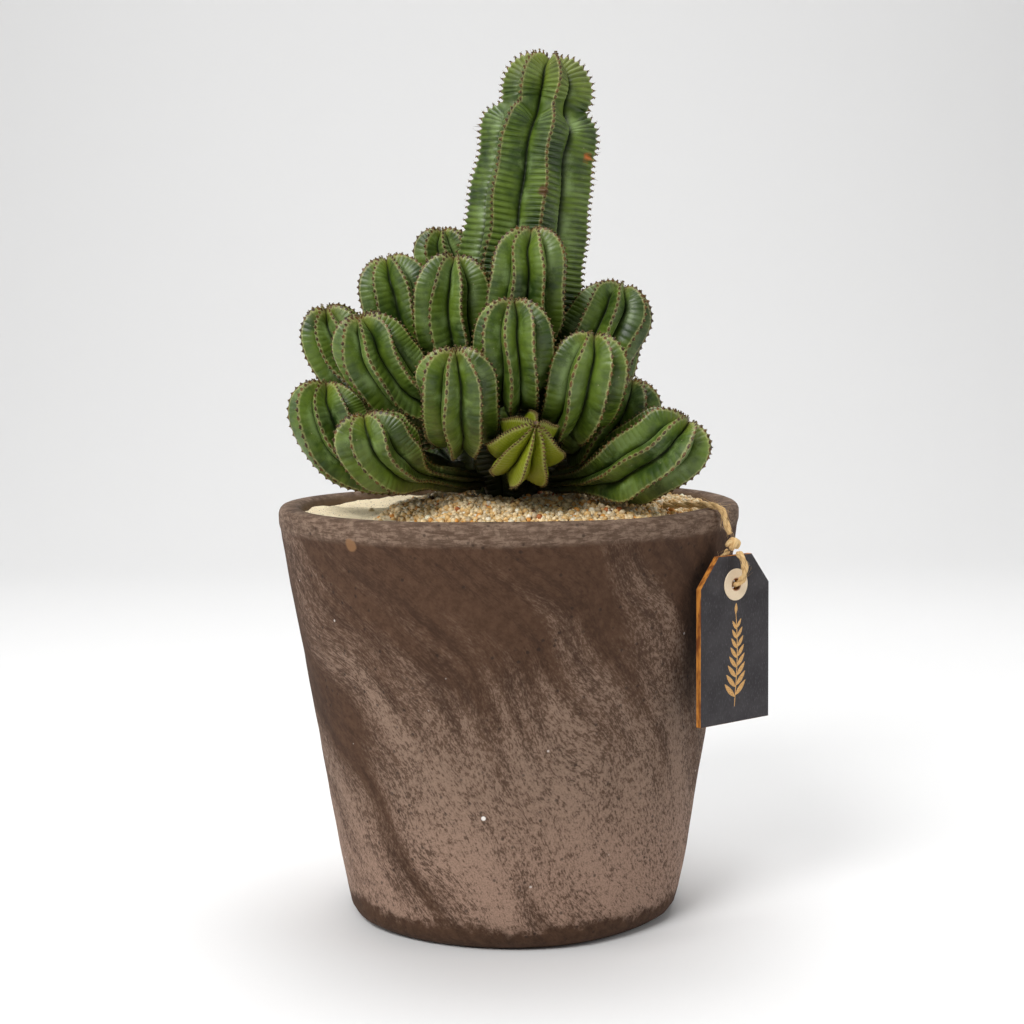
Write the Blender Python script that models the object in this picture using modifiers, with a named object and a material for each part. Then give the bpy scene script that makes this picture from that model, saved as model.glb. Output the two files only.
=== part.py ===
"""Potted euphorbia: a fired clay pot of soil, sand and gravel, a ribbed column with side stems, and a tag.

Units are metres and +Z is up. The origin is on the pot's axis where the foot stands. Azimuths are in
degrees about the pot's axis: 0 faces -Y, the front, and 90 faces +X, the right.
"""
import bmesh
import bpy
import math
from mathutils import Matrix, Vector

# ---- fits ----
FIT = 0.0003
ROOT_CLEARANCE = 0.0004

# ---- pot ----
POT_HEIGHT = 0.196
RIM_RADIUS = 0.110
FOOT_RADIUS = 0.0745
WALL = 0.0100
POT_FLOOR = 0.0120
RIM_BAND_HEIGHT = 0.0090
RIM_BAND_STEP = 0.0012
RIM_ROUNDING = 0.0026
FOOT_ROUNDING = 0.0090
DRAIN_RADIUS = 0.0090
POT_STEPS = 48

# ---- soil, sand and gravel ----
SAND_DEPTH_BELOW_RIM = 0.0062
SAND_THICKNESS = 0.0110
GRAVEL_RADIUS = 0.0800
GRAVEL_HEIGHT = 0.0080
GRAVEL_RIGHT = 0.0200
GRAVEL_BACK = 0.0040

# ---- main stem ----
MAIN_RADIUS = 0.0270
MAIN_HEIGHT = 0.2170
MAIN_TOP_DRIFT = 0.0188
ROOT_RADIUS = 0.0150
ROOT_DEPTH = 0.0260
ROOT_RISE = 0.0120
RIBS = 8
VALLEY_DEPTH = 0.30

# ---- side stems ----
SIDE_RADIUS = 0.0172
SIDE_SPACING = 0.0018
NECK_RADIUS = 0.0058
SEAT_RADIUS = 0.0034
NECK_CLEARANCE = 0.0006
NECK_RUN = 0.0040
SIDE_RINGS = 9

# ---- tag and twine ----
TAG_WIDTH = 0.0430
TAG_HEIGHT = 0.0760
TAG_THICKNESS = 0.0030
TAG_CORNER_CUT = 0.0110
TAG_HOLE_RADIUS = 0.0026
TAG_HOLE_DROP = 0.0132
TAG_FACING = 38.0
RING_RADIUS = 0.0072
RING_THICKNESS = 0.0006
TWINE_DIAMETER = 0.0032
KNOT_RADIUS = 0.0042
BEND_ROOM = 0.0002
KNOT_RISE = 0.0182
TWINE_AZIMUTH = 59.0
TAG_STANDOFF = 0.0072
TAG_DROP = 0.0330

# Each side stem: the rib it grows from (azimuth of that rib, height), then its knee and its tip, each as
# azimuth, distance out from the main stem's surface and height above the sand. Distances and heights are
# counted in side stem widths, so the crown grows with its stems. The last value is its relative girth.
SIDE_STEMS = [
    (-135, 5.9, -118, 0.9, 6.1, -115, 0.95, 7.25, 0.80),
    (-90, 3.9, -84, 1.3, 4.2, -87, 2.0, 6.45, 1.0),
    (-45, 4.0, -42, 1.05, 4.2, -41, 1.1, 6.4, 1.0),
    (0, 4.3, 4, 1.1, 4.5, 3, 1.2, 7.0, 1.0),
    (45, 3.7, 56, 1.0, 3.9, 66, 1.35, 5.7, 1.0),
    (-90, 2.9, -97, 2.9, 2.9, -91, 3.45, 5.25, 0.95),
    (-45, 3.05, -59, 2.2, 2.75, -59, 3.0, 5.0, 1.0),
    (0, 3.1, 0, 2.5, 3.1, -2, 2.5, 5.3, 0.96),
    (-45, 2.0, -16, 2.9, 2.3, -18, 3.2, 4.2, 0.96),
    (45, 2.6, 23, 2.7, 2.4, 26, 2.65, 4.5, 0.98),
    (-90, 1.1, -76, 3.5, 1.25, -78, 3.35, 3.4, 1.0),
    (-45, 0.95, -46, 3.0, 1.2, -48, 3.3, 2.7, 0.97),
    (0, 1.5, 6, 2.2, 1.6, 6, 3.7, 2.55, 0.97),
    (90, 2.2, 68, 1.65, 2.1, 61, 1.95, 3.4, 0.97),
    (45, 0.9, 44, 3.4, 1.2, 50, 4.0, 2.5, 1.0),
    (90, 3.2, 106, 1.0, 3.3, 112, 1.15, 5.3, 0.95),
    (180, 3.8, 168, 1.1, 4.1, 165, 1.15, 6.8, 1.0),
    (-135, 3.6, -140, 1.0, 3.8, -142, 1.15, 5.5, 0.95),
    (90, 1.1, 109, 1.9, 1.3, 118, 2.3, 2.7, 0.95),
    (135, 2.6, 143, 2.2, 2.7, 147, 2.5, 4.8, 0.95),
    (180, 2.6, -176, 2.3, 2.7, -175, 2.5, 4.8, 1.0),
    (-135, 2.75, -130, 3.0, 2.8, -130, 3.0, 4.8, 0.95),
    (135, 1.1, 139, 2.9, 1.2, 142, 3.4, 2.5, 0.93),
    (-135, 1.0, -156, 2.9, 1.1, -158, 3.4, 2.5, 0.93),
    (180, 1.1, 174, 2.9, 1.2, 173, 3.4, 2.5, 0.93),
    (-135, 2.0, -114, 3.0, 1.5, -115, 3.35, 2.6, 0.88),
]


def polar(azimuth, radius, height):
    """Point at an azimuth in degrees, a distance from the pot's axis and a height."""
    angle = math.radians(azimuth)
    return Vector((radius * math.sin(angle), -radius * math.cos(angle), height))


def sand_top():
    return POT_HEIGHT - SAND_DEPTH_BELOW_RIM


def inner_radius():
    """Radius of the pot's cylinder-like upper bore, where the sand meets the wall."""
    return RIM_RADIUS - RIM_BAND_STEP - WALL


def wall_radius(height):
    """Outer radius of the pot's sloping wall at a height."""
    top = POT_HEIGHT - RIM_BAND_HEIGHT
    low = FOOT_ROUNDING
    low_radius = FOOT_RADIUS + 0.75 * FOOT_ROUNDING
    share = (height - low) / (top - low)
    return low_radius + share * (RIM_RADIUS - RIM_BAND_STEP - low_radius)


def new_material(name, colour, roughness, metallic=0.0):
    material = bpy.data.materials.new(name)
    material.use_nodes = True
    shader = material.node_tree.nodes["Principled BSDF"]
    shader.inputs["Base Color"].default_value = (*colour, 1.0)
    shader.inputs["Roughness"].default_value = roughness
    shader.inputs["Metallic"].default_value = metallic
    material.diffuse_color = (*colour, 1.0)
    return material


def new_collection(name):
    collection = bpy.data.collections.new(name)
    bpy.context.scene.collection.children.link(collection)
    return collection


def add_object(name, data, collection, material=None):
    item = bpy.data.objects.new(name, data)
    collection.objects.link(item)
    if material:
        data.materials.append(material)
    return item


def mark_cutter(item):
    item.hide_render = True
    item.display_type = "WIRE"


def turned(name, profile, closed, collection, material=None, steps=POT_STEPS):
    """Turn a profile of (radius, height) points about Z with a Screw modifier, outer side downwards."""
    mesh = bpy.data.meshes.new(name)
    edges = [(i, i + 1) for i in range(len(profile) - 1)]
    if closed:
        edges.append((len(profile) - 1, 0))
    mesh.from_pydata([(radius, 0.0, height) for radius, height in profile], edges, [])
    item = add_object(name, mesh, collection, material)
    screw = item.modifiers.new("turn", "SCREW")
    screw.steps = steps
    screw.render_steps = steps
    screw.use_merge_vertices = True
    screw.merge_threshold = 0.00001
    screw.use_smooth_shade = True
    return item


def mesh_from_curve(item):
    """Replace a curve object by a welded mesh object of the same name, place and material."""
    evaluated = item.evaluated_get(bpy.context.evaluated_depsgraph_get())
    mesh = bpy.data.meshes.new_from_object(evaluated)
    bm = bmesh.new()
    bm.from_mesh(mesh)
    bmesh.ops.remove_doubles(bm, verts=bm.verts, dist=0.000001)
    bmesh.ops.recalc_face_normals(bm, faces=bm.faces)
    bm.to_mesh(mesh)
    bm.free()
    name, matrix, collection = item.name, item.matrix_world.copy(), item.users_collection[0]
    bpy.data.objects.remove(item)
    solid = bpy.data.objects.new(name, mesh)
    solid.matrix_world = matrix
    collection.objects.link(solid)
    return solid


def poly_curve(name, points, radii, collection, material, cyclic=False):
    curve = bpy.data.curves.new(name, "CURVE")
    curve.dimensions = "3D"
    curve.twist_mode = "MINIMUM"
    curve.use_fill_caps = True
    curve.render_resolution_u = 0
    spline = curve.splines.new("POLY")
    spline.points.add(len(points) - 1)
    for slot, point, radius in zip(spline.points, points, radii):
        slot.co = (*point, 1.0)
        slot.radius = radius
    spline.use_cyclic_u = cyclic
    return add_object(name, curve, collection, material)


def rib_section(collection):
    """Closed star outline of unit radius, one crest and one valley for each rib."""
    curve = bpy.data.curves.new("rib_section", "CURVE")
    curve.dimensions = "2D"
    spline = curve.splines.new("POLY")
    spline.points.add(2 * RIBS - 1)
    for index, slot in enumerate(spline.points):
        angle = math.pi * index / RIBS
        radius = 1.0 if index % 2 == 0 else 1.0 - VALLEY_DEPTH
        slot.co = (radius * math.cos(angle), radius * math.sin(angle), 0.0, 1.0)
    spline.use_cyclic_u = True
    section = add_object("rib_section", curve, collection)
    mark_cutter(section)
    return section


def ribbed_stem(name, points, radii, section, collection, material):
    """Sweep the star outline along the points, scaled to the radii, and weld its caps."""
    item = poly_curve(name, points, radii, collection, material)
    item.data.bevel_mode = "OBJECT"
    item.data.bevel_object = section
    return mesh_from_curve(item)


def main_axis(height):
    """Centre of the main stem at a height above the sand: upright at the soil, drifting to the right."""
    share = max(height - ROOT_RISE, 0.0) / (MAIN_HEIGHT - ROOT_RISE)
    drift = MAIN_TOP_DRIFT * (0.44 * share + 0.56 * share * share)
    return Vector((drift, 0.0, sand_top() + height))


def build_pot(collection, material):
    top = POT_HEIGHT
    band = POT_HEIGHT - RIM_BAND_HEIGHT
    inside = inner_radius()
    floor_radius = wall_radius(POT_FLOOR) - WALL
    profile = [
        (RIM_RADIUS - RIM_ROUNDING, top),
        (RIM_RADIUS - 0.3 * RIM_ROUNDING, top - 0.3 * RIM_ROUNDING),
        (RIM_RADIUS, top - RIM_ROUNDING),
        (RIM_RADIUS, band),
        (wall_radius(band), band - RIM_BAND_STEP),
        (wall_radius(FOOT_ROUNDING), FOOT_ROUNDING),
        (FOOT_RADIUS + 0.45 * FOOT_ROUNDING, 0.30 * FOOT_ROUNDING),
        (FOOT_RADIUS, 0.0),
        (DRAIN_RADIUS, 0.0),
        (DRAIN_RADIUS, POT_FLOOR),
        (floor_radius, POT_FLOOR),
        (inside, band),
        (inside, top - RIM_ROUNDING),
        (inside + 0.3 * RIM_ROUNDING, top - 0.3 * RIM_ROUNDING),
        (inside + RIM_ROUNDING, top),
    ]
    return turned("pot", profile, True, collection, material)


def bore_radius(height):
    """Radius of the pot's inner wall at a height."""
    band = POT_HEIGHT - RIM_BAND_HEIGHT
    if height >= band:
        return inner_radius()
    floor_radius = wall_radius(POT_FLOOR) - WALL
    return floor_radius + (height - POT_FLOOR) / (band - POT_FLOOR) * (inner_radius() - floor_radius)


def build_soil(collection, material):
    """Soil from the pot's floor to the sand, with the socket that the main stem's root fills."""
    top = sand_top() - SAND_THICKNESS - FIT
    bottom = POT_FLOOR + FIT
    socket = ROOT_RADIUS + ROOT_CLEARANCE
    socket_floor = sand_top() - ROOT_DEPTH - FIT
    profile = [
        (socket, top),
        (bore_radius(top) - FIT, top),
        (bore_radius(bottom) - FIT, bottom),
        (0.0, bottom),
    ]
    outline = [(0.0, socket_floor), (socket, socket_floor)] + profile
    return turned("potting_soil", outline, False, collection, material)


def build_sand(collection, material):
    top = sand_top()
    bottom = top - SAND_THICKNESS
    socket = ROOT_RADIUS + ROOT_CLEARANCE
    band = POT_HEIGHT - RIM_BAND_HEIGHT
    profile = [(socket, top), (bore_radius(top) - FIT, top)]
    if bottom < band < top:
        profile.append((bore_radius(band) - FIT, band))
    profile += [(bore_radius(bottom) - FIT, bottom), (socket, bottom)]
    return turned("sand_dressing", profile, True, collection, material)


def add_boolean(item, cutter, operation):
    modifier = item.modifiers.new(cutter.name, "BOOLEAN")
    modifier.operation = operation
    modifier.object = cutter


def build_gravel(collection, cutters, material):
    """Low mound of gravel: the top of a flattened ball, trimmed by the sand, the pot and the root."""
    bed = sand_top() + FIT
    mesh = bpy.data.meshes.new("gravel_dressing")
    bm = bmesh.new()
    bmesh.ops.create_uvsphere(bm, u_segments=32, v_segments=12, radius=GRAVEL_RADIUS)
    bmesh.ops.scale(bm, vec=(1.0, 1.0, GRAVEL_HEIGHT / GRAVEL_RADIUS), verts=bm.verts)
    bmesh.ops.translate(bm, vec=(GRAVEL_RIGHT, GRAVEL_BACK, bed), verts=bm.verts)
    bm.to_mesh(mesh)
    bm.free()
    item = add_object("gravel_dressing", mesh, collection, material)
    reach = 2.0 * GRAVEL_HEIGHT
    hole_radius = ROOT_RADIUS + ROOT_CLEARANCE
    ring = [
        (bore_radius(bed) - FIT, bed + reach),
        (bore_radius(bed) - FIT, bed),
        (hole_radius, bed),
        (hole_radius, bed + reach),
    ]
    bore = turned("gravel_space", ring, True, cutters)
    mark_cutter(bore)
    add_boolean(item, bore, "INTERSECT")
    return item


def main_profile():
    """The column's (height above the sand, radius): narrow root, full body, narrower new growth."""
    return [
        (-ROOT_DEPTH, ROOT_RADIUS),
        (ROOT_RISE, ROOT_RADIUS),
        (0.055, MAIN_RADIUS),
        (0.085, MAIN_RADIUS),
        (0.120, MAIN_RADIUS),
        (0.150, MAIN_RADIUS),
        (MAIN_HEIGHT - 0.046, MAIN_RADIUS),
        (MAIN_HEIGHT - 0.030, 0.90 * MAIN_RADIUS),
        (MAIN_HEIGHT - 0.024, 0.78 * MAIN_RADIUS),
        (MAIN_HEIGHT - 0.015, 0.80 * MAIN_RADIUS),
        (MAIN_HEIGHT - 0.006, 0.66 * MAIN_RADIUS),
        (MAIN_HEIGHT, 0.36 * MAIN_RADIUS),
    ]


def main_radius(height):
    """Radius of the column over its rib crests at a height above the sand."""
    profile = main_profile()
    for (low, low_radius), (high, high_radius) in zip(profile, profile[1:]):
        if height <= high:
            return low_radius + (height - low) / (high - low) * (high_radius - low_radius)
    return profile[-1][1]


def build_main_stem(section, collection, material):
    profile = main_profile()
    points = [main_axis(height) for height, _ in profile]
    radii = [radius for _, radius in profile]
    return ribbed_stem("main_stem", points, radii, section, collection, material)


def crown_point(azimuth, out, up):
    """Point in the crown, counted in side stem widths from the main stem's surface and the sand."""
    unit = SIDE_RADIUS + SIDE_SPACING
    centre = main_axis(up * unit)
    return centre + polar(azimuth, MAIN_RADIUS + out * unit, 0.0)


def side_stem_path(rib, start, knee, tip):
    """Smooth curve that leaves the rib outwards, turns up at the knee and ends at the tip."""
    height = start * (SIDE_RADIUS + SIDE_SPACING)
    lean = (main_axis(height + SEAT_RADIUS) - main_axis(height)).x * math.sin(math.radians(rib))
    above = main_radius(height + SEAT_RADIUS) + lean
    below = main_radius(height - SEAT_RADIUS) - lean
    reach = max(above, below) + NECK_CLEARANCE
    seat = main_axis(height) + polar(rib, reach, 0.0)
    first = seat + polar(rib, NECK_RUN, 0.0)
    knee_point = crown_point(*knee)
    last = crown_point(*tip)
    rings = [seat]
    for index in range(SIDE_RINGS):
        t = index / (SIDE_RINGS - 1)
        rings.append(first * (1 - t) ** 2 + knee_point * 2 * t * (1 - t) + last * t * t)
    return rings


def side_stem_girth(share):
    """Radius along a side stem as a share of its full radius: narrow neck, full body, round tip."""
    body = 1.0 - (1.0 - min(share / 0.5, 1.0)) ** 2
    neck = NECK_RADIUS / SIDE_RADIUS
    girth = neck + (1.0 - neck) * body
    if share > 0.8:
        girth *= math.sqrt(max(1.0 - ((share - 0.8) / 0.23) ** 2, 0.0))
    return girth


def build_side_stems(section, collection, material):
    for number, row in enumerate(SIDE_STEMS, start=1):
        rib, start, knee_az, knee_out, knee_up, tip_az, tip_out, tip_up, girth = row
        points = side_stem_path(rib, start, (knee_az, knee_out, knee_up), (tip_az, tip_out, tip_up))
        shares = [index / (SIDE_RINGS - 1) for index in range(SIDE_RINGS)]
        radii = [SEAT_RADIUS] + [SIDE_RADIUS * girth * side_stem_girth(share) for share in shares]
        ribbed_stem(f"side_stem_{number:02d}", points, radii, section, collection, material)


def tag_matrix():
    """Frame of the tag at its hole: X along its width, Y out of its back, Z up."""
    centre = polar(TWINE_AZIMUTH, RIM_RADIUS + TAG_STANDOFF, POT_HEIGHT - TAG_DROP)
    return Matrix.Translation(centre) @ Matrix.Rotation(math.radians(TAG_FACING), 4, "Z")


def circle_points(radius, count):
    angles = [2.0 * math.pi * index / count for index in range(count)]
    return [(radius * math.cos(angle), radius * math.sin(angle)) for angle in angles]


def plate(name, outlines, thickness, collection, material):
    """Flat plate in the XZ plane from a 2D curve: the first outline is its edge, the rest are holes."""
    curve = bpy.data.curves.new(name, "CURVE")
    curve.dimensions = "2D"
    curve.fill_mode = "BOTH"
    curve.extrude = thickness / 2.0
    curve.render_resolution_u = 0
    for outline in outlines:
        spline = curve.splines.new("POLY")
        spline.points.add(len(outline) - 1)
        for slot, (x, y) in zip(spline.points, outline):
            slot.co = (x, y, 0.0, 1.0)
        spline.use_cyclic_u = True
    item = add_object(name, curve, collection, material)
    item.matrix_world = Matrix.Rotation(math.pi / 2.0, 4, "X")
    solid = mesh_from_curve(item)
    solid.data.transform(solid.matrix_world)
    solid.matrix_world = Matrix.Identity(4)
    return solid


def build_tag(collection, board_material, ring_material):
    half = TAG_WIDTH / 2.0
    top = TAG_HOLE_DROP
    bottom = TAG_HOLE_DROP - TAG_HEIGHT
    cut = TAG_CORNER_CUT
    slope = 1.25 * cut
    edge = [(half, bottom), (half, top - slope), (half - cut, top), (cut - half, top),
            (-half, top - slope), (-half, bottom)]
    hole = circle_points(TAG_HOLE_RADIUS, 16)
    board = plate("tag_board", [edge, hole], TAG_THICKNESS, collection, board_material)
    board.matrix_world = tag_matrix()
    disc = circle_points(RING_RADIUS, 32)
    ring = plate("tag_ring", [disc, hole], RING_THICKNESS, collection, ring_material)
    lift = TAG_THICKNESS / 2.0 + FIT + RING_THICKNESS / 2.0
    ring.matrix_world = tag_matrix() @ Matrix.Translation((0.0, -lift, 0.0))


def smooth_route(route, step):
    """Points every step along a Catmull-Rom curve through the route's points."""
    ends = [route[0] * 2.0 - route[1]] + route + [route[-1] * 2.0 - route[-2]]
    dense = []
    for index in range(1, len(ends) - 2):
        a, b, c, d = ends[index - 1:index + 3]
        for part in range(40):
            t = part / 40.0
            dense.append(0.5 * (2.0 * b + (c - a) * t + (2.0 * a - 5.0 * b + 4.0 * c - d) * t * t
                                + (3.0 * b - a - 3.0 * c + d) * t ** 3))
    dense.append(route[-1])
    length = sum((q - p).length for p, q in zip(dense, dense[1:]))
    count = 2 * max(2, round(length / (2.0 * step)))
    points = [dense[0]]
    walked = 0.0
    for p, q in zip(dense, dense[1:]):
        walked += (q - p).length
        if walked >= len(points) * length / count and len(points) < count:
            points.append(q)
    points.append(dense[-1])
    return points


def twine_tube(name, route, step, collection, material):
    points = smooth_route(route, step)
    item = poly_curve(name, points, [1.0] * len(points), collection, material)
    item.data.bevel_depth = TWINE_DIAMETER / 2.0
    item.data.bevel_resolution = 2
    return mesh_from_curve(item)


def knot_centre():
    return tag_matrix() @ Vector((0.0, 0.0, KNOT_RISE))


def tail_route():
    """From the gravel, over the rim and down to the knot, as (distance in from the rim edge, drop)."""
    knot = knot_centre()
    rest = TWINE_DIAMETER / 2.0 + FIT
    top = POT_HEIGHT + rest + BEND_ROOM
    over = polar(TWINE_AZIMUTH, RIM_RADIUS + 0.0035, POT_HEIGHT - 0.0048)
    return [
        polar(TWINE_AZIMUTH - 1.0, RIM_RADIUS - 0.0270, POT_HEIGHT + 0.0012),
        polar(TWINE_AZIMUTH - 0.5, RIM_RADIUS - 0.0180, POT_HEIGHT + 0.0018),
        polar(TWINE_AZIMUTH, RIM_RADIUS - 0.0100, top),
        polar(TWINE_AZIMUTH, RIM_RADIUS - 0.0035, top),
        polar(TWINE_AZIMUTH, RIM_RADIUS + 0.0016, POT_HEIGHT + 0.0003),
        over,
        knot + (over - knot).normalized() * (KNOT_RADIUS + FIT),
    ]


def loop_route():
    """Round loop through the tag's hole, from the knot's front to its back, in the tag's own frame."""
    side = [(3.1, 14.9), (7.0, 10.4), (6.8, 4.4), (3.6, 0.9)]
    front = [Vector((0.0, -out * 0.001, rise * 0.001)) for out, rise in side]
    back = [Vector((0.0, -point.y, point.z)) for point in reversed(front)]
    return [tag_matrix() @ point for point in front + [Vector((0.0, 0.0, 0.0))] + back]


def build_twine(collection, material):
    twine_tube("tag_twine", tail_route(), 1.2 * TWINE_DIAMETER, collection, material)
    twine_tube("twine_loop", loop_route(), 1.2 * TWINE_DIAMETER, collection, material)
    mesh = bpy.data.meshes.new("twine_knot")
    bm = bmesh.new()
    bmesh.ops.create_uvsphere(bm, u_segments=16, v_segments=10, radius=KNOT_RADIUS)
    bmesh.ops.scale(bm, vec=(0.9, 0.9, 1.0), verts=bm.verts)
    bm.to_mesh(mesh)
    bm.free()
    knot = add_object("twine_knot", mesh, collection, material)
    knot.matrix_world = Matrix.Translation(knot_centre())


def main():
    for item in list(bpy.data.objects):
        bpy.data.objects.remove(item)
    parts = new_collection("potted_euphorbia")
    cutters = new_collection("cutters")
    clay = new_material("clay", (0.105, 0.070, 0.052), 0.75)
    soil = new_material("soil", (0.060, 0.043, 0.030), 0.95)
    sand = new_material("sand", (0.640, 0.540, 0.400), 0.90)
    gravel = new_material("gravel", (0.560, 0.430, 0.270), 0.55)
    skin = new_material("stem_skin", (0.100, 0.190, 0.065), 0.50)
    board = new_material("board", (0.045, 0.048, 0.052), 0.80)
    paper = new_material("paper", (0.600, 0.500, 0.370), 0.80)
    jute = new_material("jute", (0.430, 0.300, 0.160), 0.90)
    build_pot(parts, clay)
    build_soil(parts, soil)
    build_sand(parts, sand)
    build_gravel(parts, cutters, gravel)
    section = rib_section(cutters)
    build_main_stem(section, parts, skin)
    build_side_stems(section, parts, skin)
    build_tag(parts, board, paper)
    build_twine(parts, jute)


main()
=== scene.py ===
import math

import bpy
import numpy as np
from bpy.props import FloatProperty, FloatVectorProperty, IntProperty, PointerProperty
from bpy.types import Operator, Panel, PropertyGroup
from mathutils import Matrix, Vector


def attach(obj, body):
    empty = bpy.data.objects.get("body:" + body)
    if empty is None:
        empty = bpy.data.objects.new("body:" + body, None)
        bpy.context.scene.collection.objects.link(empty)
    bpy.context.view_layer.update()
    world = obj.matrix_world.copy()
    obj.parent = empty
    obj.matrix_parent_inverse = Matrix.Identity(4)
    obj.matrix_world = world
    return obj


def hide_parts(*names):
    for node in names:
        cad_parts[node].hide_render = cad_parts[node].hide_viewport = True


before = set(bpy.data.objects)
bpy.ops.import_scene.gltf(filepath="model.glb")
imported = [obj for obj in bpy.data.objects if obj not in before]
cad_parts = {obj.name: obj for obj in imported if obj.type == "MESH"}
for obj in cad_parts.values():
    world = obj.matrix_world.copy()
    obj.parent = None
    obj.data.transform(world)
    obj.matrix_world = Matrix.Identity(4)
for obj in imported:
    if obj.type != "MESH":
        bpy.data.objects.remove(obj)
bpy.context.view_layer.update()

bl_info = {
    "name": "Potted Euphorbia",
    "version": (1, 0, 0),
    "blender": (4, 5, 0),
    "location": "View3D > Sidebar > Euphorbia",
    "description": "Builds a ribbed succulent in a clay pot, with sand, gravel and a tag on twine",
    "category": "Object",
}

MM = 0.001
ROOT = "root"
FULL_TURN = 2.0 * math.pi
FRONT = np.array([0.0, -1.0, 0.0])
UP = np.array([0.0, 0.0, 1.0])

# The solids' own measures, in metres and degrees. The origin is on the pot's axis where its foot stands,
# azimuth 0 faces -Y, the front, and 90 faces +X, the right.
POT_HEIGHT = 0.196
RIM_RADIUS = 0.110
FOOT_RADIUS = 0.0745
WALL = 0.0100
POT_FLOOR = 0.0120
RIM_BAND_HEIGHT = 0.0090
RIM_BAND_STEP = 0.0012
RIM_ROUNDING = 0.0026
FOOT_ROUNDING = 0.0090
DRAIN_RADIUS = 0.0090
SAND_TOP = 0.1898
SAND_THICKNESS = 0.0110
BORE_RADIUS = RIM_RADIUS - RIM_BAND_STEP - WALL
GRAVEL_RADIUS = 0.0800
GRAVEL_HEIGHT = 0.0080
GRAVEL_RIGHT = 0.0200
GRAVEL_BACK = 0.0040
MAIN_RADIUS = 0.0270
MAIN_HEIGHT = 0.2170
MAIN_TOP_DRIFT = 0.0188
ROOT_RADIUS = 0.0150
ROOT_RISE = 0.0120
SIDE_RADIUS = 0.0172
SIDE_UNIT = 0.0190
NECK_RADIUS = 0.0058
NECK_RUN = 0.0040
TAG_WIDTH = 0.0430
TAG_HEIGHT = 0.0760
TAG_THICKNESS = 0.0030
TAG_CORNER_CUT = 0.0110
TAG_HOLE_RADIUS = 0.0026
TAG_HOLE_DROP = 0.0132
TAG_FACING = 38.0
RING_RADIUS = 0.0072
RING_THICKNESS = 0.0006
TWINE_DIAMETER = 0.0032
KNOT_RADIUS = 0.0042
KNOT_RISE = 0.0182
TWINE_AZIMUTH = 59.0
TAG_STANDOFF = 0.0072
TAG_DROP = 0.0330
FIT = 0.0003

# Girth of the visible side stems and of the young one over their solids' own.
STEM_PLUMPNESS = 1.08
YOUNG_PLUMPNESS = 1.05

# Measures that only the visible surfaces have, in metres.
COLUMN_TIP_SHIFT = 0.0028
ROOT_TUBE_RADIUS = 0.0048
ROOT_TUBE_DEPTH = 0.0070
BED_SINK = 0.0006
BED_SKIRT = 0.0030
STONE_CLEARANCE = 0.0014
PLY_SWING = 0.0006

# Counts of a surface's parts: steps round a ply, and points of the pot's outline before it is thinned.
PLY_COLUMNS = 16
OUTLINE_POINTS = 4000

# Millimetres between two spine shields as the skin's scars are drawn.
SHIELD_STEP = 2.9

# The camera's place in metres, and its downward tip and roll in degrees.
CAMERA_PLACE = (0.00126, -0.86017, 0.27145)
CAMERA_TIP = 5.356
CAMERA_ROLL = -0.518

# Marks, given as places on the object in metres.
TAN_SPOT = (-0.0690, -0.0852, 0.1850)
WHITE_CHIP = (-0.0125, 0.0, 0.0640)
ORANGE_SORE = (0.0395, -0.0130, 0.3570)
BROWN_SCAB = (0.0170, -0.0290, 0.3415)

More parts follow.
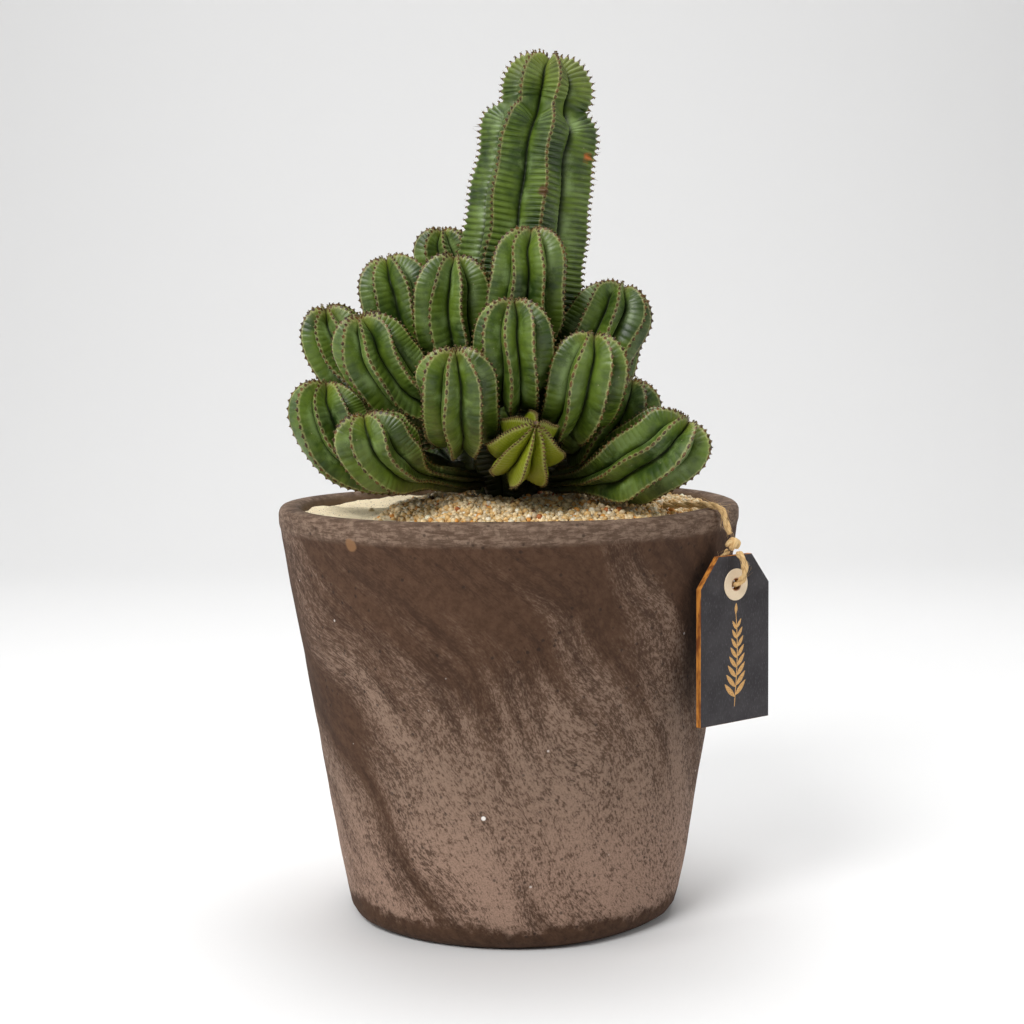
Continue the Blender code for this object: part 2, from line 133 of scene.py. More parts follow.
# Each side stem: the rib it grows from (its azimuth, start height), then its knee and its tip, each as
# azimuth, distance out from the main stem's surface and height above the sand, and its relative girth.
# Distances and heights are counted in side stem widths. These are the solids' own, except that the
# fourteenth starts lower, leans further forward and is a little thicker. The last four values are the
# stem's habit: turn of its first crest from the front in degrees, twist in degrees from neck to tip,
# warmth of its green, and the share of its length where it starts to round off.
SIDE_STEMS = [
    (-135, 5.9, -118, 0.9, 6.1, -115, 0.95, 7.25, 0.80, 12, 20, 0.15, 0.70),
    (-90, 3.9, -84, 1.3, 4.2, -87, 2.0, 6.45, 1.0, -22, 18, -0.10, 0.78),
    (-45, 4.0, -42, 1.05, 4.2, -41, 1.1, 6.4, 1.0, 20, 10, -0.05, 0.78),
    (0, 4.3, 4, 1.1, 4.5, 3, 1.2, 7.0, 1.0, 17, -12, 0.00, 0.78),
    (45, 3.7, 56, 1.0, 3.9, 66, 1.35, 5.7, 1.0, -12, -30, -0.15, 0.76),
    (-90, 2.9, -97, 2.9, 2.9, -91, 3.45, 5.25, 0.95, -18, 20, -0.10, 0.76),
    (-45, 3.05, -59, 2.2, 2.75, -59, 3.0, 5.0, 1.0, 6, 42, 0.05, 0.78),
    (0, 3.1, 0, 2.5, 3.1, -2, 2.5, 5.3, 0.96, -14, -10, 0.05, 0.76),
    (-45, 2.0, -16, 2.9, 2.3, -18, 3.2, 4.2, 0.96, -8, 24, 0.12, 0.78),
    (45, 2.6, 23, 2.7, 2.4, 26, 2.65, 4.5, 0.98, 21, -20, 0.10, 0.78),
    (-90, 1.1, -76, 3.5, 1.25, -78, 3.35, 3.4, 1.0, 0, 22, -0.05, 0.78),
    (-45, 0.95, -46, 3.0, 1.2, -48, 3.3, 2.7, 0.97, -16, 30, 0.18, 0.78),
    (0, 1.5, 6, 2.2, 1.6, 6, 3.7, 2.55, 0.97, 2, 0, 1.00, 0.52),
    (75, 1.7, 50, 1.55, 1.7, 54, 2.10, 3.45, 1.04, -20, -24, -0.05, 0.80),
    (45, 0.9, 44, 3.4, 1.2, 50, 4.0, 2.5, 1.0, 14, -26, -0.15, 0.80),
    (90, 3.2, 106, 1.0, 3.3, 112, 1.15, 5.3, 0.95, 0, -14, 0.00, 0.78),
    (180, 3.8, 168, 1.1, 4.1, 165, 1.15, 6.8, 1.0, 8, 16, -0.05, 0.78),
    (-135, 3.6, -140, 1.0, 3.8, -142, 1.15, 5.5, 0.95, 30, 12, 0.10, 0.78),
    (90, 1.1, 109, 1.9, 1.3, 118, 2.3, 2.7, 0.95, -9, -22, 0.35, 0.78),
    (135, 2.6, 143, 2.2, 2.7, 147, 2.5, 4.8, 0.95, 18, 15, 0.00, 0.78),
    (180, 2.6, -176, 2.3, 2.7, -175, 2.5, 4.8, 1.0, 4, -18, 0.10, 0.78),
    (-135, 2.75, -130, 3.0, 2.8, -130, 3.0, 4.8, 0.95, -15, 24, -0.10, 0.78),
    (135, 1.1, 139, 2.9, 1.2, 142, 3.4, 2.5, 0.93, 10, -20, 0.20, 0.78),
    (-135, 1.0, -156, 2.9, 1.1, -158, 3.4, 2.5, 0.93, 25, 18, 0.05, 0.78),
    (180, 1.1, 174, 2.9, 1.2, 173, 3.4, 2.5, 0.93, 0, 20, 0.30, 0.78),
    (-135, 2.0, -114, 3.0, 1.5, -115, 3.35, 2.6, 0.88, 12, 14, 0.00, 0.78),
]
YOUNG_STEM = 13

# The column's own crests: azimuths of its eight ribs, wider apart in front than behind.
MAIN_CRESTS = (-84.0, -33.0, 14.0, 78.0, 118.0, 158.0, 198.0, 237.0)

# The column's (height above the sand, crest radius): narrow root, full old growth with a rounded
# shoulder, a crease, and the dome of this year's growth.
MAIN_PROFILE = (
    (-0.0200, 0.0150), (0.0080, 0.0160), (0.0200, 0.0225), (0.0360, 0.0268), (0.0850, 0.0296),
    (0.1150, 0.0308), (0.1350, 0.0296), (0.1520, 0.0284), (0.1660, 0.0272), (0.1760, 0.0280),
    (0.1830, 0.0276), (0.1875, 0.0256), (0.1905, 0.0222), (0.1922, 0.0202), (0.1945, 0.0206),
    (0.1985, 0.0214), (0.2040, 0.0209), (0.2090, 0.0187), (0.2130, 0.0154), (0.2158, 0.0110),
    (0.2172, 0.0062), (0.2178, 0.0000),
)

# The column's few long spines: rib, height above the sand, upward lean and length in millimetres.
LONG_SPINES = (
    (0.0, 0.1760, 0.5, 5.0),
    (0.0, 0.1790, -0.1, 4.2),
    (2.0, 0.2155, 1.2, 3.2),
    (3.0, 0.1750, 0.3, 3.4),
    (3.0, 0.1630, -0.4, 3.0),
)


# ---------------------------------------------------------------------------------------------- numbers

def shade(red, green, blue):
    """Linear colour of a paint chip whose display values run from 0 to 255."""
    chip = np.array([red, green, blue]) / 255.0
    linear = np.where(chip <= 0.04045, chip / 12.92, ((chip + 0.055) / 1.055) ** 2.4)
    return tuple(float(value) for value in linear)


def unit(vectors):
    """Vectors scaled to length one."""
    return vectors / np.maximum(np.linalg.norm(vectors, axis=-1, keepdims=True), 1e-12)


def angles_round(count):
    """Evenly spaced angles round a full turn, the first at 0."""
    return np.linspace(0.0, FULL_TURN, count, endpoint=False)


def circle(angles):
    """Points (cosine, sine) of the unit circle at the given angles."""
    return np.stack([np.cos(angles), np.sin(angles)], axis=-1)


def polar(azimuth, radius, height):
    """Point at an azimuth in degrees about the pot's axis, a distance from it and a height."""
    angle = np.radians(azimuth)
    return np.array([radius * np.sin(angle), -radius * np.cos(angle), height + 0.0 * angle])


def ease(low, high, value):
    """Smooth step from 0 at low to 1 at high."""
    share = np.clip((value - low) / (high - low), 0.0, 1.0)
    return share * share * (3.0 - 2.0 * share)


def ripples(coordinates, wavelength, seed, count=24):
    """Smooth noise of about unit size: the mean of sine waves in random directions and phases."""
    dice = np.random.default_rng(seed)
    directions = unit(dice.normal(size=(count, coordinates.shape[-1])))
    lengths = wavelength * dice.uniform(0.7, 1.5, count)
    phases = dice.uniform(0.0, FULL_TURN, count)
    waves = np.sin(coordinates @ (directions * (FULL_TURN / lengths)[:, None]).T + phases)
    return waves.sum(axis=-1) * math.sqrt(2.0 / count)


def smooth_line(points, count):
    """Evenly spaced points along the Catmull-Rom curve through the given ones."""
    points = np.asarray(points, float)
    ends = np.vstack([2 * points[0] - points[1], points, 2 * points[-1] - points[-2]])
    share = np.linspace(0.0, 1.0, 33)[:-1][:, None]
    a, b, c, d = (ends[k:len(ends) - 3 + k][:, None, :] for k in range(4))
    curve = 0.5 * (2 * b + (c - a) * share + (2 * a - 5 * b + 4 * c - d) * share ** 2
                   + (3 * b - a - 3 * c + d) * share ** 3)
    dense = np.vstack([curve.reshape(-1, points.shape[1]), points[-1:]])
    return resample(dense, count)


def run_lengths(points):
    """Distance walked along a line of points, from its first one."""
    steps = np.linalg.norm(np.diff(points, axis=0), axis=1)
    return np.concatenate([[0.0], np.cumsum(steps)])


def at_lengths(points, lengths, walked=None):
    """Points of a line at the given distances along it."""
    walked = run_lengths(points) if walked is None else walked
    return np.stack([np.interp(lengths, walked, points[:, k]) for k in range(points.shape[1])], axis=-1)


def resample(points, count):
    """The line's points spaced evenly along its length."""
    walked = run_lengths(points)
    return at_lengths(points, np.linspace(0.0, walked[-1], count), walked)


def carried_frames(points, start_side):
    """Tangent, side and third direction along a path, the side carried forward with the least turn."""
    tangents = unit(np.gradient(points, axis=0))
    side = np.array(start_side, float)
    sides = np.empty_like(tangents)
    for index, tangent in enumerate(tangents):
        side = unit(side - tangent * (side @ tangent))
        sides[index] = side
    return tangents, sides, np.cross(tangents, sides)


# ----------------------------------------------------------------------------------------------- meshes

class Surface:
    """Vertices, faces and point attributes of a piece, gathered as whole arrays."""

    def __init__(self):
        self.points = []
        self.faces = []
        self.values = {}
        self.total = 0

    def add(self, points, faces, **values):
        """Add a lot of vertices (n, 3), the faces between them and their attributes (n, 3)."""
        self.points.append(points)
        self.faces += [lot + self.total for lot in faces]
        self.total += len(points)
        for name, value in values.items():
            self.values.setdefault(name, []).append(np.broadcast_to(value, (len(points), 3)))

    def tube(self, grid, start=None, end=None, ring=False, **values):
        """Add a grid of points (rows, columns, 3) closed around its columns. Its two ends are closed by
        a point each, start and end, or its rows are joined in a ring."""
        rows, columns = grid.shape[:2]
        index = np.arange(rows * columns).reshape(rows, columns)
        following = np.roll(index, -1, axis=1)
        if ring:
            low, high = index, np.roll(index, -1, axis=0)
            low_next, high_next = following, np.roll(following, -1, axis=0)
        else:
            low, high = index[:-1], index[1:]
            low_next, high_next = following[:-1], following[1:]
        quads = np.stack([low, low_next, high_next, high], axis=-1).reshape(-1, 4)
        points = [grid.reshape(-1, 3)]
        faces = [quads]
        lots = {name: [np.broadcast_to(value, grid.shape).reshape(-1, 3)]
                for name, value in values.items()}
        count = rows * columns
        for pole, row, turned in ((start, 0, True), (end, rows - 1, False)):
            if pole is None:
                continue
            fan = np.stack([index[row], following[row], np.full(columns, count)], axis=-1)
            faces.append(fan[:, ::-1] if turned else fan)
            points.append(np.asarray(pole, float).reshape(1, 3))
            for name, value in values.items():
                edge = np.broadcast_to(value, grid.shape)[row]
                lots[name].append(edge.mean(axis=0, keepdims=True))
            count += 1
        self.add(np.vstack(points), faces, **{name: np.vstack(lot) for name, lot in lots.items()})

    def copies(self, template, faces, frames, places, **values):
        """Add one copy of a small template (t, 3) for each of n frames (n, 3, 3) and places (n, 3)."""
        points = np.einsum("tk,nkj->ntj", template, frames) + places[:, None, :]
        self.add_copies(points, faces, **values)

    def add_copies(self, points, faces, **values):
        """Add n copies (n, t, 3) that share the same faces, given on one copy."""
        number, size = points.shape[:2]
        offsets = (np.arange(number) * size)[:, None, None]
        lots = [(lot[None] + offsets).reshape(-1, lot.shape[1]) for lot in faces]
        spread = {name: np.broadcast_to(value, points.shape).reshape(-1, 3)
                  for name, value in values.items()}
        self.add(points.reshape(-1, 3), lots, **spread)

    def piece(self, name, material):
        """Make the object, smooth shaded, with its attributes, at the origin."""
        points = np.vstack(self.points)
        sizes = np.concatenate([np.full(len(lot), lot.shape[1]) for lot in self.faces])
        corners = np.concatenate([lot.ravel() for lot in self.faces])
        mesh = bpy.data.meshes.new(name)
        mesh.vertices.add(len(points))
        mesh.vertices.foreach_set("co", points.astype(np.float32).ravel())
        mesh.loops.add(len(corners))
        mesh.loops.foreach_set("vertex_index", corners.astype(np.int32))
        mesh.polygons.add(len(sizes))
        mesh.polygons.foreach_set("loop_start", (np.cumsum(sizes) - sizes).astype(np.int32))
        mesh.polygons.foreach_set("use_smooth", np.full(len(sizes), True))
        mesh.update(calc_edges=True)
        for label, lots in self.values.items():
            layer = mesh.attributes.new(label, "FLOAT_VECTOR", "POINT")
            layer.data.foreach_set("vector", np.vstack(lots).astype(np.float32).ravel())
        mesh.validate()
        mesh.materials.append(material)
        item = bpy.data.objects.new(name, mesh)
        bpy.context.scene.collection.objects.link(item)
        return item


def rings(centres, sides, thirds, radius, angles):
    """Grid of circles: each centre plus its radius times the cosine of the angle along side, and times
    the sine along third."""
    across = np.cos(angles)[None, :, None] * sides[:, None, :]
    along = np.sin(angles)[None, :, None] * thirds[:, None, :]
    return centres[:, None, :] + radius * (across + along)


def round_tube(path, radius, columns, start_side, sway=None):
    """Grid of a tube: a circle of the given radius, one for each row, carried along the path. sway moves
    its rows aside by (side, third) distances, for the plies of a twisted cord."""
    _, sides, thirds = carried_frames(path, start_side)
    centres = path if sway is None else path + sides * sway[:, :1] + thirds * sway[:, 1:]
    return rings(centres, sides, thirds, radius[:, None, None], angles_round(columns))


# ---------------------------------------------------------------------------------------------- shading

class Number:
    """A shader socket that holds a number; arithmetic on it adds Math nodes."""

    def __init__(self, finish, socket):
        self.finish = finish
        self.socket = socket

    def calc(self, operation, *values):
        """Number made by a Math node from the given values."""
        made = self.finish.node("ShaderNodeMath", {"operation": operation}, dict(enumerate(values)))
        return Number(self.finish, made.outputs[0])

    def __add__(self, other):
        return self.calc("ADD", self, other)

    def __radd__(self, other):
        return self.calc("ADD", other, self)

    def __sub__(self, other):
        return self.calc("SUBTRACT", self, other)

    def __rsub__(self, other):
        return self.calc("SUBTRACT", other, self)

    def __mul__(self, other):
        return self.calc("MULTIPLY", self, other)

    def __rmul__(self, other):
        return self.calc("MULTIPLY", other, self)

    def __truediv__(self, other):
        return self.calc("DIVIDE", self, other)

    def __pow__(self, other):
        return self.calc("POWER", self, other)

    def only(self, operation):
        """Number made from this one alone, such as its FLOOR or its COSINE."""
        return self.calc(operation, self)

    def rise(self, low, high):
        """Smooth step from 0 where this is low to 1 where it is high."""
        made = self.finish.node(
            "ShaderNodeMapRange",
            {"interpolation_type": "SMOOTHSTEP"},
            {"Value": self, "From Min": low, "From Max": high},
        )
        return Number(self.finish, made.outputs[0])


class Finish:
    """A procedural material under construction: one Principled BSDF and the nodes that feed it."""

    def __init__(self, name, roughness=0.6, specular=0.5):
        self.material = bpy.data.materials.new(name)
        self.material.use_nodes = True
        self.tree = self.material.node_tree
        self.shader = self.tree.nodes["Principled BSDF"]
        self.shader.inputs["Roughness"].default_value = roughness
        self.shader.inputs["Specular IOR Level"].default_value = specular

    def node(self, kind, settings=None, sockets=None):
        """Add a node, apply its settings, then set or link its sockets."""
        made = self.tree.nodes.new(kind)
        for key, value in (settings or {}).items():
            setattr(made, key, value)
        for key, value in (sockets or {}).items():
            self.feed(made.inputs[key], value)
        return made

    def feed(self, socket, value):
        """Link a socket or a Number to a socket, or write a plain value into it."""
        if isinstance(value, Number):
            self.tree.links.new(value.socket, socket)
        elif isinstance(value, bpy.types.NodeSocket):
            self.tree.links.new(value, socket)
        elif socket.type == "RGBA" and len(value) == 3:
            socket.default_value = (*value, 1.0)
        else:
            socket.default_value = value

    def place(self):
        """The point's own place on the object, in metres."""
        return self.node("ShaderNodeTexCoord").outputs["Object"]

    def split(self, vector):
        """The three numbers of a vector."""
        made = self.node("ShaderNodeSeparateXYZ", None, {"Vector": vector})
        return [Number(self, made.outputs[k]) for k in range(3)]

    def join(self, x, y, z):
        """The vector of three numbers."""
        return self.node("ShaderNodeCombineXYZ", None, {"X": x, "Y": y, "Z": z}).outputs[0]

    def attribute(self, name):
        """The three numbers of one of the piece's own attributes."""
        made = self.node("ShaderNodeAttribute", {"attribute_name": name})
        return self.split(made.outputs["Vector"])

    def vector(self, operation, *values):
        """Vector made by a Vector Math node, such as a MULTIPLY of two vectors."""
        made = self.node("ShaderNodeVectorMath", {"operation": operation}, dict(enumerate(values)))
        return made.outputs[0]

    def distance(self, vector, point):
        """Distance of a vector from a point, in metres."""
        made = self.node("ShaderNodeVectorMath", {"operation": "DISTANCE"}, {0: vector, 1: point})
        return Number(self, made.outputs["Value"])

    def spot(self, vector, point, ragged, inner, outer):
        """1 within the inner distance of a point and 0 past the outer one, its edge moved by ragged."""
        return 1.0 - (self.distance(vector, point) + ragged).rise(inner, outer)

    def specks(self, vector, scale, sizes, channel, odds):
        """Scattered round specks: 1 inside the cells whose random number is above odds, out to sizes."""
        apart, chance = self.cells(vector, scale)
        return (1.0 - apart.rise(*sizes)) * chance[channel].rise(*odds)

    def noise(self, vector, scale, detail=3.0, roughness=0.55, distortion=0.0):
        """Noise from 0 to 1 about 0.5, with scale blobs in a metre of the vector."""
        made = self.node(
            "ShaderNodeTexNoise",
            None,
            {"Vector": vector, "Scale": scale, "Detail": detail, "Roughness": roughness,
             "Distortion": distortion},
        )
        return Number(self, made.outputs["Fac"])

    def cells(self, vector, scale, feature="F1"):
        """Voronoi distance and the random colour of each cell, as three numbers."""
        made = self.node("ShaderNodeTexVoronoi", {"feature": feature}, {"Vector": vector, "Scale": scale})
        return Number(self, made.outputs["Distance"]), self.split(made.outputs["Color"])

    def mix(self, share, first, second):
        """Colour that goes from first to second as share goes from 0 to 1."""
        made = self.node("ShaderNodeMix", {"data_type": "RGBA"}, {0: share, 6: first, 7: second})
        return made.outputs[2]

    def wear(self, colour=None, roughness=None, height=None, strength=1.0, distance=MM):
        """Feed the shader its colour, roughness and, through a Bump node, its relief."""
        if colour is not None:
            self.feed(self.shader.inputs["Base Color"], colour)
        if roughness is not None:
            self.feed(self.shader.inputs["Roughness"], roughness)
        if height is not None:
            made = self.node("ShaderNodeBump", None, {"Strength": strength, "Distance": distance,
                                                      "Height": height})
            self.feed(self.shader.inputs["Normal"], made.outputs[0])
        return self.material


def smeared_place(finish, place, height, warp):
    """Place on the pot turned about its axis by an angle that grows with height, with some sway."""
    sockets = {"Vector": place, "Angle": height * 7.5 + (warp - 0.5) * 0.9}
    return finish.node("ShaderNodeVectorRotate", {"rotation_type": "Z_AXIS"}, sockets).outputs[0]


def clay_wall(finish, settings, place, height, warp, mottle):
    """The wall's colour, roughness and relief: dark clay under a bloom that is smeared down to the right,
    thicker and rosier below, broken by dark flecks and absent from the foot."""
    ragged = finish.noise(place, 42.0, 3.0, 0.6)
    grit = finish.noise(place, 1400.0, 3.0, 0.7)
    spun = smeared_place(finish, place, height, warp)
    streak = finish.vector("MULTIPLY", spun, (1.0, 1.0, 0.18))
    smear = finish.noise(streak, 24.0, 3.0, 0.5)
    thin = finish.noise(streak, 120.0, 3.0, 0.6)
    fleck = finish.noise(finish.vector("MULTIPLY", spun, (1.0, 1.0, 0.50)), 950.0, 6.0, 0.75)
    lower = 1.0 - height.rise(0.030, 0.172)
    cover = smear + (thin - 0.5) * 0.20 + (ragged - 0.5) * 0.12 + lower * 0.30
    flecks = (fleck + (mottle - 0.5) * 0.45 + (cover - 0.78) * 0.45).rise(0.54, 0.40)
    above_foot = (height + (ragged - 0.5) * 0.012 + (mottle - 0.5) * 0.012).rise(0.0095, 0.0150)
    bloom = (cover + (fleck - 0.5) * 0.20).rise(0.55, 0.76) * (1.0 - flecks * 0.78) * above_foot
    dark = finish.mix(mottle.rise(0.3, 0.7), settings.clay_colour, settings.clay_light)
    dark = finish.mix((fleck * 0.5 + thin * 0.5).rise(0.53, 0.40) * 0.55, dark, shade(48, 32, 23))
    rosy = (1.0 - height.rise(0.020, 0.090)) * (0.55 + 0.45 * warp)
    pale = finish.mix(rosy, settings.bloom_colour, settings.bloom_warm)
    pale = finish.mix(grit.rise(0.40, 0.70) * 0.5, pale, shade(104, 84, 70))
    relief = fleck * 0.35 + grit * 0.25 + thin * 0.5 + bloom * 0.25
    return finish.mix(bloom, dark, pale), 0.86 - bloom * 0.10 + flecks * 0.05, relief


def clay_rim(finish, wall, place, height, warp, mottle):
    """Colour and relief of the worn grey rim, with fine turning lines, and of the paler bore inside it."""
    x, y, _ = finish.split(place)
    lines = finish.noise(finish.vector("MULTIPLY", place, (0.22, 0.22, 1.0)), 700.0, 4.0, 0.7)
    band = POT_HEIGHT - RIM_BAND_HEIGHT
    rim = (height + (warp - 0.5) * 0.004).rise(band - 0.0025, band + 0.0010)
    worn = finish.mix(lines.rise(0.34, 0.66), shade(86, 67, 54), shade(142, 120, 103))
    worn = finish.mix(mottle.rise(0.54, 0.42) * 0.6, worn, shade(84, 66, 53))
    colour = finish.mix(rim * 0.85, wall, worn)
    radius = (x * x + y * y) ** 0.5
    within = 1.0 - radius.rise(BORE_RADIUS + 0.0002, BORE_RADIUS + 0.0022)
    inside = within * height.rise(0.150, 0.160)
    return finish.mix(inside * 0.8, colour, shade(124, 103, 86)), lines * rim * 0.6


def clay_marks(finish, colour, place, mottle):
    """Colour and relief of the marks: a tan spot under the rim, white chips, one larger, and pits."""
    tan = finish.spot(place, TAN_SPOT, (mottle - 0.5) * 0.0020, 0.0024, 0.0036)
    colour = finish.mix(tan * 0.8, colour, shade(136, 100, 68))
    chips = finish.specks(place, 115.0, (0.050, 0.080), 0, (0.78, 0.80))
    colour = finish.mix(chips * 0.75, colour, shade(214, 204, 196))
    flat_place = finish.vector("MULTIPLY", place, (1.0, 0.0, 1.0))
    in_front = finish.split(place)[1].rise(-0.02, -0.05)
    big_chip = finish.spot(flat_place, WHITE_CHIP, 0.0, 0.0008, 0.0012) * in_front
    colour = finish.mix(big_chip, colour, shade(238, 232, 226))
    pits = finish.specks(place, 260.0, (0.10, 0.28), 1, (0.74, 0.78))
    return finish.mix(pits * 0.65, colour, shade(42, 31, 25)), pits * -0.8


def clay_finish(settings):
    """Dark fired clay with a pale bloom smeared down to the right, a bare foot and a grey rim."""
    finish = Finish("fired_clay", 0.8, 0.25)
    place = finish.place()
    height = finish.split(place)[2]
    warp = finish.noise(place, 9.0, 1.5, 0.5)
    mottle = finish.noise(place, 260.0, 6.0, 0.75)
    colour, roughness, relief = clay_wall(finish, settings, place, height, warp, mottle)
    colour, rim_relief = clay_rim(finish, colour, place, height, warp, mottle)
    colour, mark_relief = clay_marks(finish, colour, place, mottle)
    return finish.wear(colour, roughness, relief + rim_relief + mark_relief, 0.55, 0.5 * MM)


def soil_finish():
    """Dark crumbly potting soil."""
    finish = Finish("potting_soil_crumb", 0.95, 0.2)
    place = finish.place()
    crumb, tint = finish.cells(place, 320.0)
    grain = finish.noise(place, 900.0, 3.0)
    colour = finish.mix(tint[0], shade(44, 32, 24), shade(86, 64, 46))
    return finish.wear(colour, None, crumb * -0.8 + grain * 0.4, 0.9, MM)


def sand_finish(settings):
    """Fine pale sand: grains of slightly different cream, few dark ones, in soft patches."""
    finish = Finish("pale_sand", 0.92, 0.3)
    place = finish.place()
    grain, tint = finish.cells(place, 1900.0)
    patch = finish.noise(place, 60.0, 3.0)
    colour = finish.mix(tint[0] * 0.55 + patch * 0.25, settings.sand_light, settings.sand_dark)
    colour = finish.mix(tint[1].rise(0.93, 0.97) * 0.5, colour, shade(150, 118, 84))
    colour = finish.mix(tint[2].rise(0.985, 0.995), colour, shade(70, 52, 40))
    dark_grains = finish.specks(place, 210.0, (0.07, 0.11), 0, (0.93, 0.94))
    colour = finish.mix(dark_grains * 0.85, colour, shade(62, 44, 34))
    return finish.wear(colour, None, patch * 0.5 - grain * 0.5, 0.8, 0.5 * MM)


def stone_finish():
    """Quartz gravel: each stone has its own tint, cloudy inside, with a damp gloss."""
    finish = Finish("quartz_gravel", 0.38, 0.5)
    place = finish.place()
    tint = finish.node("ShaderNodeAttribute", {"attribute_name": "stone_tint"}).outputs["Color"]
    cloud = finish.noise(place, 700.0, 3.0, 0.6)
    fine = finish.noise(place, 2600.0, 2.0, 0.6)
    darker = finish.vector("MULTIPLY", tint, (0.82, 0.70, 0.50))
    colour = finish.mix(cloud.rise(0.40, 0.72) * 0.75, tint, darker)
    return finish.wear(colour, 0.30 + cloud * 0.30, fine * 0.6 + cloud, 0.5, 0.3 * MM)


def bed_finish():
    """Packed grains under the loose stones, with painted shade in the gaps between them."""
    finish = Finish("gravel_bed_grain", 0.8, 0.3)
    place = finish.place()
    grain, tint = finish.cells(place, 480.0)
    colour = finish.mix(tint[0], shade(206, 168, 112), shade(244, 216, 168))
    # Painted shade in the gaps between the grains.
    colour = finish.mix(grain.rise(0.40, 0.75), colour, shade(110, 78, 48))
    return finish.wear(colour, None, grain * -1.0, 1.0, MM)


def skin_flank(finish, settings, place, groove, age, warmth, blotch, fine, striping):
    """Flank colour and the share of it free of painted shade: darker in patches, painted shade in the
    grooves and the folds' creases, a waxy bloom stronger toward the grooves that is partly painted sheen,
    warmer with warmth, paler at the growing tip, and painted shade, a dark olive brown, over the low part
    near the root, where the crown's gaps lie in shadow."""
    broad = finish.noise(place, 55.0, 3.0, 0.55)
    patchy = (broad + (blotch - 0.5) * 0.5).rise(0.30, 0.70)
    flank = finish.mix(patchy, settings.skin_deep, settings.skin_mid)
    # Waxy bloom, partly the wax's own blue-green and partly painted sheen, stronger toward the grooves.
    wax_and_sheen = (finish.noise(place, 95.0, 2.0, 0.5) + (fine - 0.5) * 0.25).rise(0.46, 0.68)
    flank = finish.mix(wax_and_sheen * (0.25 + 0.50 * groove.rise(0.35, 0.62)), flank, settings.bloom_and_sheen)
    # Painted shade in the creases of the folds across the flanks.
    flank = finish.mix(striping * 0.40, flank, settings.groove_shade)
    flank = finish.mix(warmth.rise(0.0, 1.0) * 0.85, flank, settings.skin_warm)
    young = (age + (broad - 0.5) * 0.10).rise(0.84, 1.0)
    flank = finish.mix(young * 0.55, flank, settings.skin_tip)
    # Painted shade: the low part of each stem, where the crown's gaps lie in shadow, is darkened towards
    # near black; the rest is returned as the unshaded share.
    painted_low_shade = 1.0 - (age + (blotch - 0.5) * 0.12).rise(0.10, 0.48)
    flank = finish.mix(painted_low_shade * 0.88, flank, shade(36, 36, 15))
    # Painted shade: dark green in the bottoms of the grooves.
    return finish.mix(groove.rise(0.66, 0.98) * 0.92, flank, settings.groove_shade), 1.0 - painted_low_shade


def skin_crest(finish, settings, flank, place, crest, along, blotch, fine, unshaded_share):
    """Colour and relief along a crest: corky edging beside it, a brown ridge on it, and at each shield a
    rusty scar with a pale halo."""
    band = crest + (blotch - 0.5) * 0.6
    edging = band.rise(0.15, 0.50) * (1.0 - band.rise(0.70, 1.15)) * fine.rise(0.42, 0.58)
    # The crest marks fade where the low part of the stem carries painted shade.
    colour = finish.mix(edging * unshaded_share * 0.24, flank, settings.edge_colour)
    ridge = (1.0 - band.rise(0.10, 0.45)) * fine.rise(0.58, 0.46)
    colour = finish.mix(ridge * unshaded_share * 0.60, colour, shade(98, 72, 36))
    apart = (along - (along + 0.5).only("FLOOR")).only("ABSOLUTE") * SHIELD_STEP
    scar = ((apart / 0.85) ** 2.0 + (crest / 0.62) ** 2.0) ** 0.5 + (fine - 0.5) * 0.5
    halo = scar.rise(0.85, 1.15) * (1.0 - scar.rise(1.35, 1.95))
    colour = finish.mix(halo * unshaded_share * 0.30, colour, settings.edge_colour)
    rusty = finish.noise(place, 260.0, 2.0).rise(0.42, 0.62)
    rust = finish.mix(rusty, settings.scar_colour, settings.scar_rust)
    colour = finish.mix((1.0 - scar.rise(0.85, 1.20)) * (0.3 + 0.7 * unshaded_share), colour, rust)
    return colour, (1.0 - scar.rise(0.7, 1.1)) * -0.15


def skin_marks(finish, colour, place, blotch, fine):
    """Colour with pale flecks all over, and the column's orange sore and brown scab."""
    flecks = finish.specks(place, 330.0, (0.05, 0.13), 0, (0.90, 0.93))
    colour = finish.mix(flecks * 0.55, colour, shade(176, 166, 128))
    sore = finish.spot(place, ORANGE_SORE, (blotch - 0.5) * 0.004, 0.0022, 0.0042)
    colour = finish.mix(sore * 0.9, colour, shade(196, 96, 24))
    scab = finish.spot(place, BROWN_SCAB, (fine - 0.5) * 0.003, 0.0018, 0.0034)
    return finish.mix(scab * 0.85, colour, shade(88, 52, 28))


